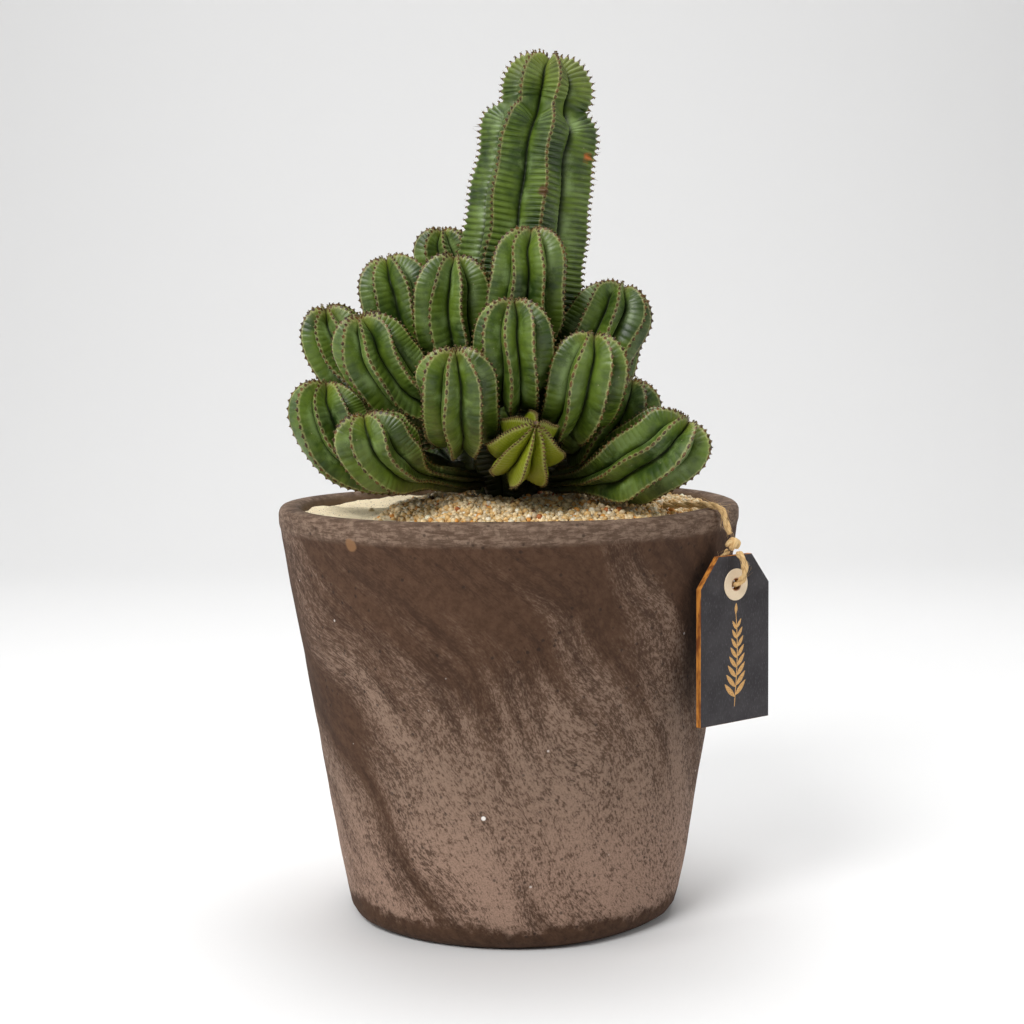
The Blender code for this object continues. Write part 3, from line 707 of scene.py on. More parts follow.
def skin_finish(settings):
    """Waxy ribbed skin. Attribute rib_place holds the distance from the nearest crest in millimetres, the
    count of spine shields along the rib and the depth into the groove from 0 to 1. Attribute growth holds
    the share of the stem's length, its warmth, and -1 for wrinkled skin, 0 for smooth skin, 1 for a
    shield, 2 to 3 for a spine."""
    finish = Finish("stem_skin_waxy", 0.45, 0.45)
    place = finish.place()
    crest, along, groove = finish.attribute("rib_place")
    age, warmth, part = finish.attribute("growth")
    blotch = finish.noise(place, 210.0, 4.0, 0.6)
    fine = finish.noise(place, 1300.0, 3.0, 0.6)
    fold = 0.5 - 0.5 * (along * FULL_TURN).only("COSINE")
    near_crest = 1.0 - groove.rise(0.15, 0.95)
    wrinkled = part.rise(-0.4, -0.8)
    # The folds across the flanks: their relief, and painted shade in their creases.
    striping = fold ** 3.0 * near_crest * (0.20 + 0.80 * wrinkled) * (0.45 + blotch * 1.1)
    # The second value is the share of the skin outside the painted low shade.
    flank, unshaded_share = skin_flank(finish, settings, place, groove, age, warmth, blotch, fine, striping)
    colour, scar_relief = skin_crest(finish, settings, flank, place, crest, along, blotch, fine, unshaded_share)
    colour = skin_marks(finish, colour, place, blotch, fine)
    shield = part.rise(0.45, 0.60)
    cushion = finish.mix(fine.rise(0.40, 0.64), settings.scar_colour, shade(128, 106, 56))
    colour = finish.mix(shield, colour, cushion)
    needle = finish.mix(part.rise(2.35, 2.85), shade(148, 134, 82), shade(76, 46, 24))
    colour = finish.mix(part.rise(1.55, 1.70), colour, needle)
    relief = fine * 0.10 - striping * 0.75 + blotch * 0.25 + scar_relief
    return finish.wear(colour, 0.34 + blotch * 0.14 + shield * 0.35, relief, 0.8, 0.60 * MM)


def board_finish(settings):
    """Charcoal painted board with scorched, honey-coloured cut edges. Attribute board_place holds the
    place on the face in millimetres and 1 on the cut edge."""
    finish = Finish("painted_board", 0.72, 0.3)
    across, up, edge = finish.attribute("board_place")
    place = finish.place()
    face = finish.join(across * MM, up * MM, 0.0)
    grain = finish.noise(finish.vector("MULTIPLY", face, (1.0, 0.30, 1.0)), 1700.0, 3.0, 0.6)
    cloud = finish.noise(place, 90.0, 3.0)
    paint = finish.mix(cloud.rise(0.3, 0.7), settings.board_colour, shade(62, 59, 61))
    paint = finish.mix(grain.rise(0.52, 0.72) * 0.35, paint, shade(104, 101, 106))
    dust = finish.specks(place, 330.0, (0.04, 0.08), 2, (0.90, 0.92))
    paint = finish.mix(dust * 0.6, paint, shade(196, 192, 190))
    cut = finish.noise(finish.vector("MULTIPLY", place, (1.0, 1.0, 0.25)), 420.0, 3.0)
    burnt = finish.mix(cut.rise(0.36, 0.62), settings.edge_burn, settings.edge_honey)
    rim = (edge + (finish.noise(place, 500.0, 2.0) - 0.5) * 0.25).rise(0.30, 0.62)
    colour = finish.mix(rim, paint, burnt)
    return finish.wear(colour, 0.70 + rim * 0.1, grain, 0.25, 0.1 * MM)


def paper_finish(settings):
    """Pale pressed-paper eyelet, browned round its hole."""
    finish = Finish("paper_eyelet", 0.8, 0.25)
    across, up, _ = finish.attribute("board_place")
    place = finish.place()
    out = (across * across + up * up) ** 0.5
    pulp = finish.noise(place, 1400.0, 4.0, 0.6)
    cloud = finish.noise(place, 220.0, 2.0)
    colour = finish.mix(pulp * 0.6, settings.ring_colour, shade(214, 186, 150))
    worn = 1.0 - (out + (cloud - 0.5) * 0.6).rise(2.70, 3.30)
    colour = finish.mix(worn * 0.8, colour, shade(142, 84, 40))
    return finish.wear(colour, None, pulp, 0.3, 0.1 * MM)


def print_finish(settings):
    """Matt tan print of the sprig."""
    finish = Finish("tan_print", 0.7, 0.3)
    place = finish.place()
    speck = finish.noise(place, 2400.0, 3.0, 0.6)
    colour = finish.mix(speck.rise(0.42, 0.66), settings.print_colour, shade(176, 130, 76))
    return finish.wear(colour, None, speck, 0.2, 0.05 * MM)


def jute_finish(settings):
    """Twisted jute. Attribute lay holds the length along the ply, the turn round it, and how deep the point
    lies between the plies, which darkens it with painted shade."""
    finish = Finish("jute_yarn", 0.85, 0.25)
    walk, turn, deep = finish.attribute("lay")
    place = finish.place()
    slant = finish.join(turn * 5.0 + walk * 0.55, walk * 0.07, 0.0)
    fibre = finish.noise(slant, 2.2, 4.0, 0.65)
    strand = finish.noise(finish.join(turn * 14.0 + walk * 1.4, walk * 0.10, 3.0), 2.0, 3.0, 0.6)
    blotch = finish.noise(place, 300.0, 2.0)
    colour = finish.mix(fibre.rise(0.30, 0.70), settings.jute_dark, settings.jute_light)
    colour = finish.mix(blotch.rise(0.45, 0.70) * 0.35, colour, shade(222, 192, 140))
    # Painted shade: darker between the plies and inside the knot.
    colour = finish.mix(deep.rise(0.2, 1.0) * 0.75, colour, shade(104, 74, 42))
    return finish.wear(colour, None, fibre * 0.8 + strand * 0.5, 0.9, 0.35 * MM)


# ------------------------------------------------------------------------------------------------ stems

def main_axis(height):
    """Centre of the main stem at heights above the sand: upright at the soil, drifting to the right."""
    share = np.maximum(height - ROOT_RISE, 0.0) / (MAIN_HEIGHT - ROOT_RISE)
    drift = MAIN_TOP_DRIFT * (0.44 * share + 0.56 * share * share)
    return np.stack([drift, 0.0 * drift, SAND_TOP + height + 0.0 * drift], axis=-1)


def rib_depth(share, keel):
    """Depth into the groove from 0 on the crest to 1 in the groove's bottom: a keeled, convex flank that
    drops steeply at the last. keel is how straight the flank starts off."""
    return keel * share + 0.12 * share ** 2 + (0.88 - keel) * share ** 6


class Stem:
    """A ribbed stem: a meridian (distance out, height) turned round a bent axis, pressed in along the
    grooves, with a small tooth at each spine shield.

    A point of it is the axis point, plus the meridian's distance out in the direction of the point's
    angle, less the groove's depth along the meridian's own normal."""

    def __init__(self, axis, out, crests, twist, spacing, groove, keel, tooth, fold, warmth, wrinkled,
                 seed):
        walked = run_lengths(axis)
        meridian = np.stack([out, walked], axis=-1)
        self.run = run_lengths(meridian)
        self.axis = axis
        self.out = out
        slope = unit(np.gradient(meridian, axis=0))
        self.lean = np.stack([slope[:, 1], -slope[:, 0]], axis=-1)
        heading = unit(axis[-1] - axis[-4])
        backward, side, _ = carried_frames(axis[::-1], unit(FRONT - heading * (FRONT @ heading)))
        self.tangent = -backward[::-1]
        self.side = side[::-1]
        self.third = np.cross(self.tangent, self.side)
        self.full = out.max()
        self.widest = self.run[int(np.argmax(out > 0.97 * self.full))]
        self.crests = np.radians(crests)
        self.twist = math.radians(twist)
        self.spacing = spacing
        self.groove = groove
        self.keel = keel
        self.tooth = tooth
        self.fold = fold
        self.warmth = warmth
        self.wrinkled = wrinkled
        self.seed = seed
        dice = np.random.default_rng(seed)
        self.offsets = dice.uniform(0.0, 1.0, len(crests))
        self.swings = dice.uniform(0.0, FULL_TURN, len(crests))

    def at(self, run, column):
        """Points at distances along the meridian and columns counted in ribs: their places, and the
        distance from the crest in millimetres, the count of shields and the share of groove depth."""
        run, column = np.broadcast_arrays(run, column)
        count = len(self.crests)
        rib = np.floor(column).astype(int)
        part = column - rib
        far = run[..., None]
        wave = 0.07 * np.sin(far / 0.0095 + self.swings) + 0.03 * np.sin(far / 0.004)
        angles = self.crests + wave * (0.5 if self.wrinkled else 1.0)
        first = np.take_along_axis(angles, (rib % count)[..., None], axis=-1)[..., 0]
        second = np.take_along_axis(angles, ((rib + 1) % count)[..., None], axis=-1)[..., 0]
        second = np.where(rib % count == count - 1, second + FULL_TURN, second)
        share = run / self.run[-1]
        angle = first + (second - first) * part + self.twist * (share - 1.0)
        near = np.minimum(part, 1.0 - part)
        depth_share = rib_depth(2.0 * near, self.keel)
        out = np.interp(run, self.run, self.out)
        spread = out / self.full
        dome = (1.0 - np.exp(-3.3 * spread)) / (1.0 - math.exp(-3.3))
        depth = self.groove * self.full * depth_share * np.where(run > self.widest, dome, 0.95 * spread)
        crest = near * (second - first) * out
        offset = np.where(part < 0.5, self.offsets[rib % count], self.offsets[(rib + 1) % count])
        along = run / self.spacing + offset
        beat = 0.5 + 0.5 * np.cos(FULL_TURN * along)
        grown = ease(0.12, 0.30, share)
        knob = 1.0 + 0.7 * np.exp(-(spread / 0.38) ** 2)
        bulge = self.tooth * beat ** 1.6 * np.exp(-crest / (1.5 * MM)) * knob
        bulge = bulge + self.fold * (np.sqrt(beat) - 0.6) * np.exp(-crest / (0.45 * self.full))
        bulge = bulge * grown * ease(0.02, 0.14, spread)
        lump = np.stack([np.cos(angle) * out, np.sin(angle) * out, run], axis=-1)
        bulge = bulge + 0.020 * self.full * ripples(lump, 0.030, self.seed + 7, 10) * spread
        dent = 0.10 * self.full * np.exp(-(spread / 0.20) ** 2) * (run > self.widest)
        push = depth + dent - bulge
        places = [np.interp(run, self.run, field[:, k]) for field in
                  (self.axis, self.tangent, self.side, self.third) for k in range(3)]
        centre, tangent, side, third = (np.stack(places[k:k + 3], axis=-1) for k in (0, 3, 6, 9))
        lean_out = np.interp(run, self.run, self.lean[:, 0])
        lean_up = np.interp(run, self.run, self.lean[:, 1])
        direction = np.cos(angle)[..., None] * side + np.sin(angle)[..., None] * third
        points = centre + (out - lean_out * push)[..., None] * direction
        points = points - (lean_up * push)[..., None] * tangent
        return points, np.stack([crest / MM, along, depth_share], axis=-1)

    def rows(self, count, coarse):
        """Distances along the meridian: a few on the hidden neck, then even ones out to near the tip."""
        start = 0.45 * self.widest
        neck = np.linspace(0.0, start, coarse, endpoint=False)
        body = np.linspace(start, self.run[-1] * 0.9995, count - coarse)
        return np.concatenate([neck, body])

    def grow(self, surface, count, coarse, columns):
        """Add the stem's skin to a surface."""
        runs = self.rows(count, coarse)
        step = np.arange(columns) / columns
        inside = step - 0.055 * np.sin(4.0 * math.pi * step)
        column = (np.arange(len(self.crests))[:, None] + inside).ravel()
        points, rib_place = self.at(runs[:, None], column[None, :])
        share = np.broadcast_to((runs / self.run[-1])[:, None], points.shape[:2])
        kind = -1.0 if self.wrinkled else 0.0
        growth = np.stack([share, np.full_like(share, self.warmth), np.full_like(share, kind)], axis=-1)
        start = points[0].mean(axis=0)
        end = points[-1].mean(axis=0)
        surface.tube(points, start, end, rib_place=rib_place, growth=growth)

    def shields(self, surface, size, spine, first=0.16):
        """Add a small cushion and two short spines on every crest, one set for each tooth."""
        runs = []
        ribs = []
        for rib, offset in enumerate(self.offsets):
            counts = np.arange(math.ceil(offset), int(self.run[-1] / self.spacing + offset) + 1)
            run = (counts - offset) * self.spacing
            run = run[(run > first * self.run[-1]) & (run < self.run[-1] - 0.9 * MM)]
            runs.append(run)
            ribs.append(np.full(len(run), float(rib)))
        runs = np.concatenate(runs)
        ribs = np.concatenate(ribs)
        dice = np.random.default_rng(self.seed + 31)
        place, _ = self.at(runs, ribs)
        ahead, _ = self.at(np.minimum(runs + 0.3 * MM, self.run[-1]), ribs)
        aside, _ = self.at(runs, ribs + 0.02)
        behind, _ = self.at(runs, ribs - 0.02)
        forward = unit(ahead - place)
        across = unit(aside - behind)
        outward = unit(np.cross(across, forward))
        centre = np.stack([np.interp(runs, self.run, self.axis[:, k]) for k in range(3)], axis=-1)
        outward = outward * np.sign(np.sum(outward * (place - centre), axis=-1, keepdims=True) + 1e-9)
        across = unit(np.cross(forward, outward))
        to_tip = self.run[-1] - runs
        scale = size * dice.uniform(0.75, 1.2, len(runs)) * (0.6 + 0.4 * ease(0.0, 5 * MM, to_tip))
        frames = np.stack([forward, across, outward], axis=1)
        cushion, cushion_faces = cushion_template()
        growth = np.array([0.9, self.warmth, 1.0])
        surface.copies(cushion, cushion_faces, frames * scale[:, None, None], place,
                       rib_place=np.zeros(3), growth=growth)
        needle, needle_faces, needle_growth = needle_template()
        for hand in (-1.0, 1.0):
            spread = np.radians(dice.uniform(14.0, 46.0, len(runs))) * hand
            tilt = np.radians(dice.uniform(-25.0, 30.0, len(runs)))
            axis = unit(outward * np.cos(spread)[:, None] + across * np.sin(spread)[:, None]
                        + forward * np.sin(tilt)[:, None])
            wide = unit(np.cross(axis, forward))
            third = np.cross(axis, wide)
            long = spine * dice.uniform(0.55, 1.25, len(runs))
            thick = np.full(len(runs), 0.13 * MM)
            needles = np.stack([wide * thick[:, None], third * thick[:, None], axis * long[:, None]], axis=1)
            foot = place + across * (0.25 * hand * MM)
            surface.copies(needle, needle_faces, needles, foot, rib_place=np.zeros(3),
                           growth=needle_growth[None])

    def long_spines(self, surface, places):
        """Add single long spines, each given by its rib, height above the sand, rise and length."""
        needle, needle_faces, needle_growth = needle_template()
        for rib, height, rise, length in places:
            run = np.interp(SAND_TOP + height, self.axis[:, 2], self.run)
            foot, _ = self.at(np.array([run]), np.array([rib]))
            centre = np.array([np.interp(run, self.run, self.axis[:, k]) for k in range(3)])
            axis = unit(unit(foot - centre) + rise * UP)
            wide = unit(np.cross(axis, np.array([[0.1, 0.2, 1.0]])))
            thick = 0.17 * MM
            rows = np.stack([wide * thick, np.cross(axis, wide) * thick, axis * length * MM], axis=1)
            surface.copies(needle, needle_faces, rows, foot - axis * 0.4 * MM, rib_place=np.zeros(3),
                           growth=needle_growth[None] + np.array([0.0, 0.0, 0.6]))


def cushion_template():
    """Low oval dome of unit length along X, six-sided, closed below."""
    angles = np.arange(6) * math.pi / 3.0
    low = np.stack([0.52 * np.cos(angles), 0.36 * np.sin(angles), np.full(6, -0.12)], axis=-1)
    high = np.stack([0.36 * np.cos(angles), 0.25 * np.sin(angles), np.full(6, 0.16)], axis=-1)
    points = np.vstack([low, high, [[0.0, 0.0, 0.24]]])
    index = np.arange(6)
    following = np.roll(index, -1)
    sides = np.stack([index, following, following + 6, index + 6], axis=-1)
    top = np.stack([index + 6, following + 6, np.full(6, 12)], axis=-1)
    return points, [sides, top, index[::-1][None]]


def needle_template():
    """Three-sided spine of unit length along Z, and its growth attribute from root to point."""
    angles = np.arange(3) * FULL_TURN / 3.0
    base = np.stack([np.cos(angles), np.sin(angles), np.zeros(3)], axis=-1)
    points = np.vstack([base, [[0.0, 0.0, 1.0]]])
    faces = [np.array([[0, 1, 3], [1, 2, 3], [2, 0, 3], [2, 1, 0]])]
    growth = np.array([[0.9, 0.0, 2.0]] * 3 + [[0.9, 0.0, 3.0]])
    return points, faces, growth


def crown_point(azimuth, out, up):
    """Point in the crown, counted in side stem widths from the main stem's surface and the sand."""
    return main_axis(np.array(up * SIDE_UNIT)) + polar(azimuth, MAIN_RADIUS + out * SIDE_UNIT, 0.0)


def side_axis(rib, start, knee, tip, shares, lead_count):
    """Axis of a side stem: straight out of the column, then (1-s)^2 first + 2 s (1-s) knee + s^2 tip, for
    each share s."""
    seat = main_axis(np.array(start * SIDE_UNIT)) + polar(rib, MAIN_RADIUS, 0.0)
    root = seat - polar(rib, ROOT_TUBE_DEPTH, 0.0)
    first = seat + polar(rib, NECK_RUN, 0.0)
    share = shares[:, None]
    bend = first * (1 - share) ** 2 + knee * 2 * share * (1 - share) + tip * share ** 2
    lead = root + (first - root) * np.linspace(0.0, 1.0, lead_count, endpoint=False)[:, None]
    return np.vstack([lead, bend])


def side_girth(share, shoulder, tip_out, tip_up, young):
    """Radius of a side stem over its full one: it widens from a narrow neck, stays full, and past its
    shoulder rounds off as a blunt ellipse. Those that end low over the gravel keep a thin neck longer."""
    neck = NECK_RADIUS / SIDE_RADIUS
    filling = 1.0 - (1.0 - np.clip(share / 0.58, 0.0, 1.0)) ** 2.1
    if tip_up < 3.0 and not young:
        filling = ease(0.08, 0.48, share) if tip_out > 3.9 else ease(0.20, 0.58, share)
    past_shoulder = np.clip((share - shoulder) / (share[-1] - shoulder), 0.0, 1.0)
    blunt, ending = (1.5, 1.15) if young else (2.3, 2.3)
    rounding = np.clip(1.0 - past_shoulder ** blunt, 0.0, 1.0) ** (1.0 / ending)
    return (neck + (1.0 - neck) * filling) * rounding


def side_stem(row, settings, seed, young):
    """A side stem: its axis leaves the column level, bends at the knee and ends at the tip, and its skin
    follows the girth. The young one has deeper grooves and smaller, closer teeth."""
    rib, start, knee_azimuth, knee_out, knee_up, tip_azimuth, tip_out, tip_up, girth = row[:9]
    turn, twist, warmth, shoulder = row[9:]
    shares = np.linspace(0.0, 1.015, 180)
    lead_count = 12
    knee = crown_point(knee_azimuth, knee_out, knee_up)
    tip = crown_point(tip_azimuth, tip_out, tip_up)
    axis = side_axis(rib, start, knee, tip, shares, lead_count)
    full = SIDE_RADIUS * girth * (YOUNG_PLUMPNESS if young else STEM_PLUMPNESS)
    radius = full * side_girth(shares, shoulder, tip_out, tip_up, young)
    dice = np.random.default_rng(seed)
    crests = turn + np.arange(settings.ribs) * 360.0 / settings.ribs
    return Stem(
        axis=axis,
        out=np.concatenate([np.full(lead_count, ROOT_TUBE_RADIUS), radius]),
        crests=crests + dice.uniform(-3.0, 3.0, settings.ribs),
        twist=twist,
        spacing=settings.shield_spacing * (0.72 if young else 1.0),
        groove=settings.groove_depth * (1.28 if young else 1.0),
        keel=0.62 if young else settings.keel,
        tooth=settings.tooth_height * (0.6 if young else 1.0),
        fold=settings.fold_height,
        warmth=warmth,
        wrinkled=False,
        seed=seed,
    )


def main_stem(settings):
    """The column: its profile turned round a drifting axis, with unevenly spaced ribs, shallower grooves
    than a side stem's and wrinkled flanks."""
    profile = smooth_line(np.array(MAIN_PROFILE), 420)
    axis = main_axis(profile[:, 0])
    axis[:, 0] += COLUMN_TIP_SHIFT * ease(0.12, MAIN_HEIGHT, profile[:, 0])
    out = np.maximum(profile[:, 1], 0.0)
    out[-1] = 0.0
    return Stem(
        axis=axis,
        out=out,
        crests=np.array(MAIN_CRESTS),
        twist=8.0,
        spacing=settings.shield_spacing * 1.04,
        groove=settings.groove_depth * 0.64,
        keel=settings.keel * 0.9,
        tooth=settings.tooth_height * 1.9,
        fold=settings.fold_height * 6.0,
        warmth=-0.10,
        wrinkled=True,
        seed=11,
    )


# ------------------------------------------------------------------------------------------- pot and bed

def wall_radius(height):
    """Outer radius of the pot's sloping wall."""
    top = POT_HEIGHT - RIM_BAND_HEIGHT
    low_radius = FOOT_RADIUS + 0.75 * FOOT_ROUNDING
    share = (height - FOOT_ROUNDING) / (top - FOOT_ROUNDING)
    return low_radius + share * (RIM_RADIUS - RIM_BAND_STEP - low_radius)


def pot_grid(settings):
    """Closed pot outline (distance out, height) turned about the axis: sampled finely, its corners eased
    by a running mean, then made uneven by hand-sized ripples."""
    top = POT_HEIGHT
    band = POT_HEIGHT - RIM_BAND_HEIGHT
    inside = RIM_RADIUS - RIM_BAND_STEP - WALL
    floor_radius = wall_radius(POT_FLOOR) - WALL
    outline = np.array([
        (DRAIN_RADIUS, POT_FLOOR), (DRAIN_RADIUS, 0.0), (FOOT_RADIUS - 0.0010, 0.0),
        (FOOT_RADIUS + 0.0030, 0.0016), (FOOT_RADIUS + 0.0056, 0.0050),
        (wall_radius(FOOT_ROUNDING + 0.002), FOOT_ROUNDING + 0.002), (wall_radius(band), band - 0.0022),
        (RIM_RADIUS - 0.0002, band + 0.0006), (RIM_RADIUS, top - 1.2 * RIM_ROUNDING),
        (RIM_RADIUS - 0.4 * RIM_ROUNDING, top - 0.30 * RIM_ROUNDING), (RIM_RADIUS - 1.5 * RIM_ROUNDING, top),
        (inside + 1.3 * RIM_ROUNDING, top), (inside + 0.35 * RIM_ROUNDING, top - 0.35 * RIM_ROUNDING),
        (inside, top - 1.4 * RIM_ROUNDING), (inside, band), (floor_radius, POT_FLOOR),
        (DRAIN_RADIUS, POT_FLOOR),
    ])
    walked = run_lengths(outline)
    length = walked[-1]
    weights = np.where(outline[:, 1] > band - 0.004, 3.2, 1.0)
    evenly = np.linspace(0.0, length, OUTLINE_POINTS)
    share = np.concatenate([[0.0], np.cumsum(np.interp(evenly, walked, weights))[:-1]])
    rows = np.linspace(0.0, 1.0, settings.rows, endpoint=False)
    lengths = np.interp(rows, share / share[-1], evenly)
    fine = at_lengths(outline, np.linspace(0.0, length, OUTLINE_POINTS, endpoint=False), walked)
    reach = 13
    window = np.hanning(2 * reach + 1)
    window = window / window.sum()
    wrapped = np.concatenate([fine[-reach:], fine, fine[:reach]])
    eased = np.stack([np.convolve(wrapped[:, k], window, "valid") for k in range(2)], axis=-1)
    section = at_lengths(eased, lengths, evenly)
    turns = angles_round(settings.steps)
    out = section[:, 0][:, None] + 0.0 * turns
    up = section[:, 1][:, None] + 0.0 * turns
    about = np.stack([np.cos(turns) + 0.0 * up, np.sin(turns) + 0.0 * up, up / 0.11], axis=-1)
    outer = ease(0.050, 0.072, out)
    uneven = settings.wobble * (0.60 * ripples(about, 1.9, 3, 14) + 0.30 * ripples(about, 0.55, 4, 20)
                                + 0.07 * ripples(about, 0.13, 5, 40))
    foot = 1.0 - ease(0.004, 0.030, up)
    lumpy = 0.0011 * ripples(about, 0.9, 9, 12) * foot * ease(0.0, 0.0015, up)
    out = out + (uneven * ease(0.0, 0.004, up) + lumpy) * outer
    edge_wave = 0.0007 * ripples(about[..., :2], 0.75, 6, 12)
    near_band = np.exp(-((up - band) / 0.004) ** 2)
    near_lip = ease(top - 0.006, top, up)
    up = up + (edge_wave * near_band + 0.0003 * ripples(about[..., :2], 1.1, 8, 10) * near_lip) * outer
    return np.stack([out * np.cos(turns), out * np.sin(turns), np.maximum(up, 0.0)], axis=-1)


def sand_grid():
    """Ring of sand: a closed outline round the root, its top gently uneven and heaped against the wall."""
    steps = 90
    edge = BORE_RADIUS - 0.0002
    bottom = SAND_TOP - SAND_THICKNESS
    out = np.concatenate([[ROOT_RADIUS], np.linspace(ROOT_RADIUS, edge, steps), [edge]])
    up = np.concatenate([[bottom], np.full(steps, SAND_TOP), [bottom]])
    turns = angles_round(288)
    x = out[:, None] * np.cos(turns)
    y = out[:, None] * np.sin(turns)
    flat = np.stack([x, y], axis=-1)
    height = 0.0005 * ripples(flat, 0.030, 21, 18) + 0.00018 * ripples(flat, 0.006, 22, 40)
    heap = 0.0016 * ease(0.082, BORE_RADIUS, out)[:, None]
    height = height + heap * (1.0 + 0.5 * ripples(flat, 0.05, 23, 10))
    on_top = (up == SAND_TOP)[:, None]
    grid = np.stack([x, y, up[:, None] + np.where(on_top, height, 0.0)], axis=-1)
    return grid[::-1]


def mound_height(x, y):
    """Height of the gravel over the sand: a flattened ball's top with soft ripples, 0 past its edge."""
    away = np.hypot(x - GRAVEL_RIGHT, y - GRAVEL_BACK) / GRAVEL_RADIUS
    flat = np.stack([x, y], axis=-1)
    rough = 1.0 + 0.10 * ripples(flat, 0.035, 33, 16)
    return 1.25 * GRAVEL_HEIGHT * np.sqrt(np.clip(1.0 - away ** 2, 0.0, 1.0)) * rough


def reach_to_wall(angle, limit):
    """Distance from the mound's middle to its edge or the pot's bore, in the direction of an angle."""
    along = GRAVEL_RIGHT * np.cos(angle) + GRAVEL_BACK * np.sin(angle)
    rest = limit ** 2 - GRAVEL_RIGHT ** 2 - GRAVEL_BACK ** 2
    return np.minimum(GRAVEL_RADIUS, -along + np.sqrt(along ** 2 + rest))


def bed_surface(surface):
    """Closed low mound under the loose stones, a little lower than their tops."""
    turns = angles_round(160)
    shares = np.linspace(1.0, 0.02, 48)
    reach = reach_to_wall(turns, BORE_RADIUS - 0.0008)
    x = GRAVEL_RIGHT + shares[:, None] * reach * np.cos(turns)
    y = GRAVEL_BACK + shares[:, None] * reach * np.sin(turns)
    z = SAND_TOP - BED_SINK + np.maximum(mound_height(x, y) - BED_SINK, 0.0)
    top = np.stack([x, y, z], axis=-1)
    skirt = top[:1].copy()
    skirt[..., 2] = SAND_TOP - BED_SKIRT
    grid = np.concatenate([skirt, top])
    below = np.array([GRAVEL_RIGHT, GRAVEL_BACK, SAND_TOP - BED_SKIRT])
    above = np.array([GRAVEL_RIGHT, GRAVEL_BACK, SAND_TOP + GRAVEL_HEIGHT - 0.0008])
    surface.tube(grid, below, above)


def stone_template():
    """Eight-sided ball split once and pushed out to a sphere: 18 points, 32 faces."""
    corners = np.array([(1, 0, 0), (-1, 0, 0), (0, 1, 0), (0, -1, 0), (0, 0, 1), (0, 0, -1)], float)
    sides = [(0, 2, 4), (2, 1, 4), (1, 3, 4), (3, 0, 4), (2, 0, 5), (1, 2, 5), (3, 1, 5), (0, 3, 5)]
    points = list(corners)
    middles = {}
    faces = []
    for a, b, c in sides:
        halves = []
        for first, second in ((a, b), (b, c), (c, a)):
            key = (min(first, second), max(first, second))
            if key not in middles:
                middles[key] = len(points)
                points.append(unit(corners[first] + corners[second]))
            halves.append(middles[key])
        ab, bc, ca = halves
        faces += [(a, ab, ca), (ab, b, bc), (ca, bc, c), (ab, bc, ca)]
    return np.array(points), [np.array(faces)]


def stone_tints(count, dice):
    """Random stone colours: mostly cream, some honey, grey and amber, few white, rust and dark."""
    kinds = np.array([
        shade(246, 224, 182), shade(234, 196, 134), shade(214, 194, 160), shade(252, 242, 218),
        shade(226, 160, 78), shade(190, 110, 54), shade(128, 94, 66),
    ])
    odds = np.array([0.42, 0.29, 0.12, 0.11, 0.035, 0.01, 0.015])
    chosen = kinds[dice.choice(len(kinds), count, p=odds)]
    return np.clip(chosen * dice.uniform(0.80, 1.12, (count, 1)), 0.0, 1.0)


def stone_places(dice, pitch):
    """Places (x, y) and layers of the loose stones: a jittered triangular lattice, part of it with a
    second layer, and strays just past the mound's edge."""
    rows = np.arange(-42, 43)
    u, v = np.meshgrid(rows, rows)
    x = GRAVEL_RIGHT + pitch * (u + 0.5 * (v % 2)).ravel()
    y = GRAVEL_BACK + pitch * 0.866 * v.ravel()
    x = x + dice.uniform(-0.30, 0.30, x.shape) * pitch
    y = y + dice.uniform(-0.30, 0.30, y.shape) * pitch
    away = np.hypot(x - GRAVEL_RIGHT, y - GRAVEL_BACK) / GRAVEL_RADIUS
    ragged = away + 0.03 * ripples(np.stack([x, y], axis=-1), 0.02, 41, 16)
    chance = np.where(ragged < 0.985, 1.0, 0.35 * np.exp(-(ragged - 0.985) / 0.035))
    furthest = BORE_RADIUS - STONE_CLEARANCE
    kept = (dice.uniform(size=x.shape) < chance) & (np.hypot(x, y) < furthest)
    kept &= np.hypot(x, y) > ROOT_RADIUS - 0.001
    x, y = x[kept], y[kept]
    second = (dice.uniform(size=x.shape) < 0.34) & (away[kept] < 0.97)
    x = np.concatenate([x, x[second] + dice.normal(0.0, 0.4 * pitch, second.sum())])
    y = np.concatenate([y, y[second] + dice.normal(0.0, 0.4 * pitch, second.sum())])
    layer = np.concatenate([np.zeros(len(second)), np.ones(second.sum())])
    inside = np.hypot(x, y) < furthest
    return x[inside], y[inside], layer[inside]


def gravel_stones(surface, settings):
    """Loose stones on the mound, each a stretched, roughened ball turned its own way."""
    dice = np.random.default_rng(5)
    x, y, layer = stone_places(dice, settings.stone_size * 0.90)
    count = len(x)
    size = settings.stone_size * 0.5 * np.clip(np.exp(dice.normal(0.0, 0.20, count)), 0.60, 1.45)
    lift = np.maximum(mound_height(x, y) - BED_SINK, 0.0) + size * 0.35 + layer * 0.0010
    places = np.stack([x, y, SAND_TOP - 0.0003 + lift], axis=-1)
    template, faces = stone_template()
    frames = turn_frames(unit(dice.normal(size=(count, 4))))
    stretch = dice.uniform(0.72, 1.18, (count, 3))
    rough = 1.0 + dice.uniform(-0.15, 0.12, (count, len(template), 1))
    shapes = template[None] * rough * stretch[:, None, :] * size[:, None, None]
    points = np.einsum("ntk,nkj->ntj", shapes, frames) + places[:, None, :]
    surface.add_copies(points, faces, stone_tint=stone_tints(count, dice)[:, None, :])


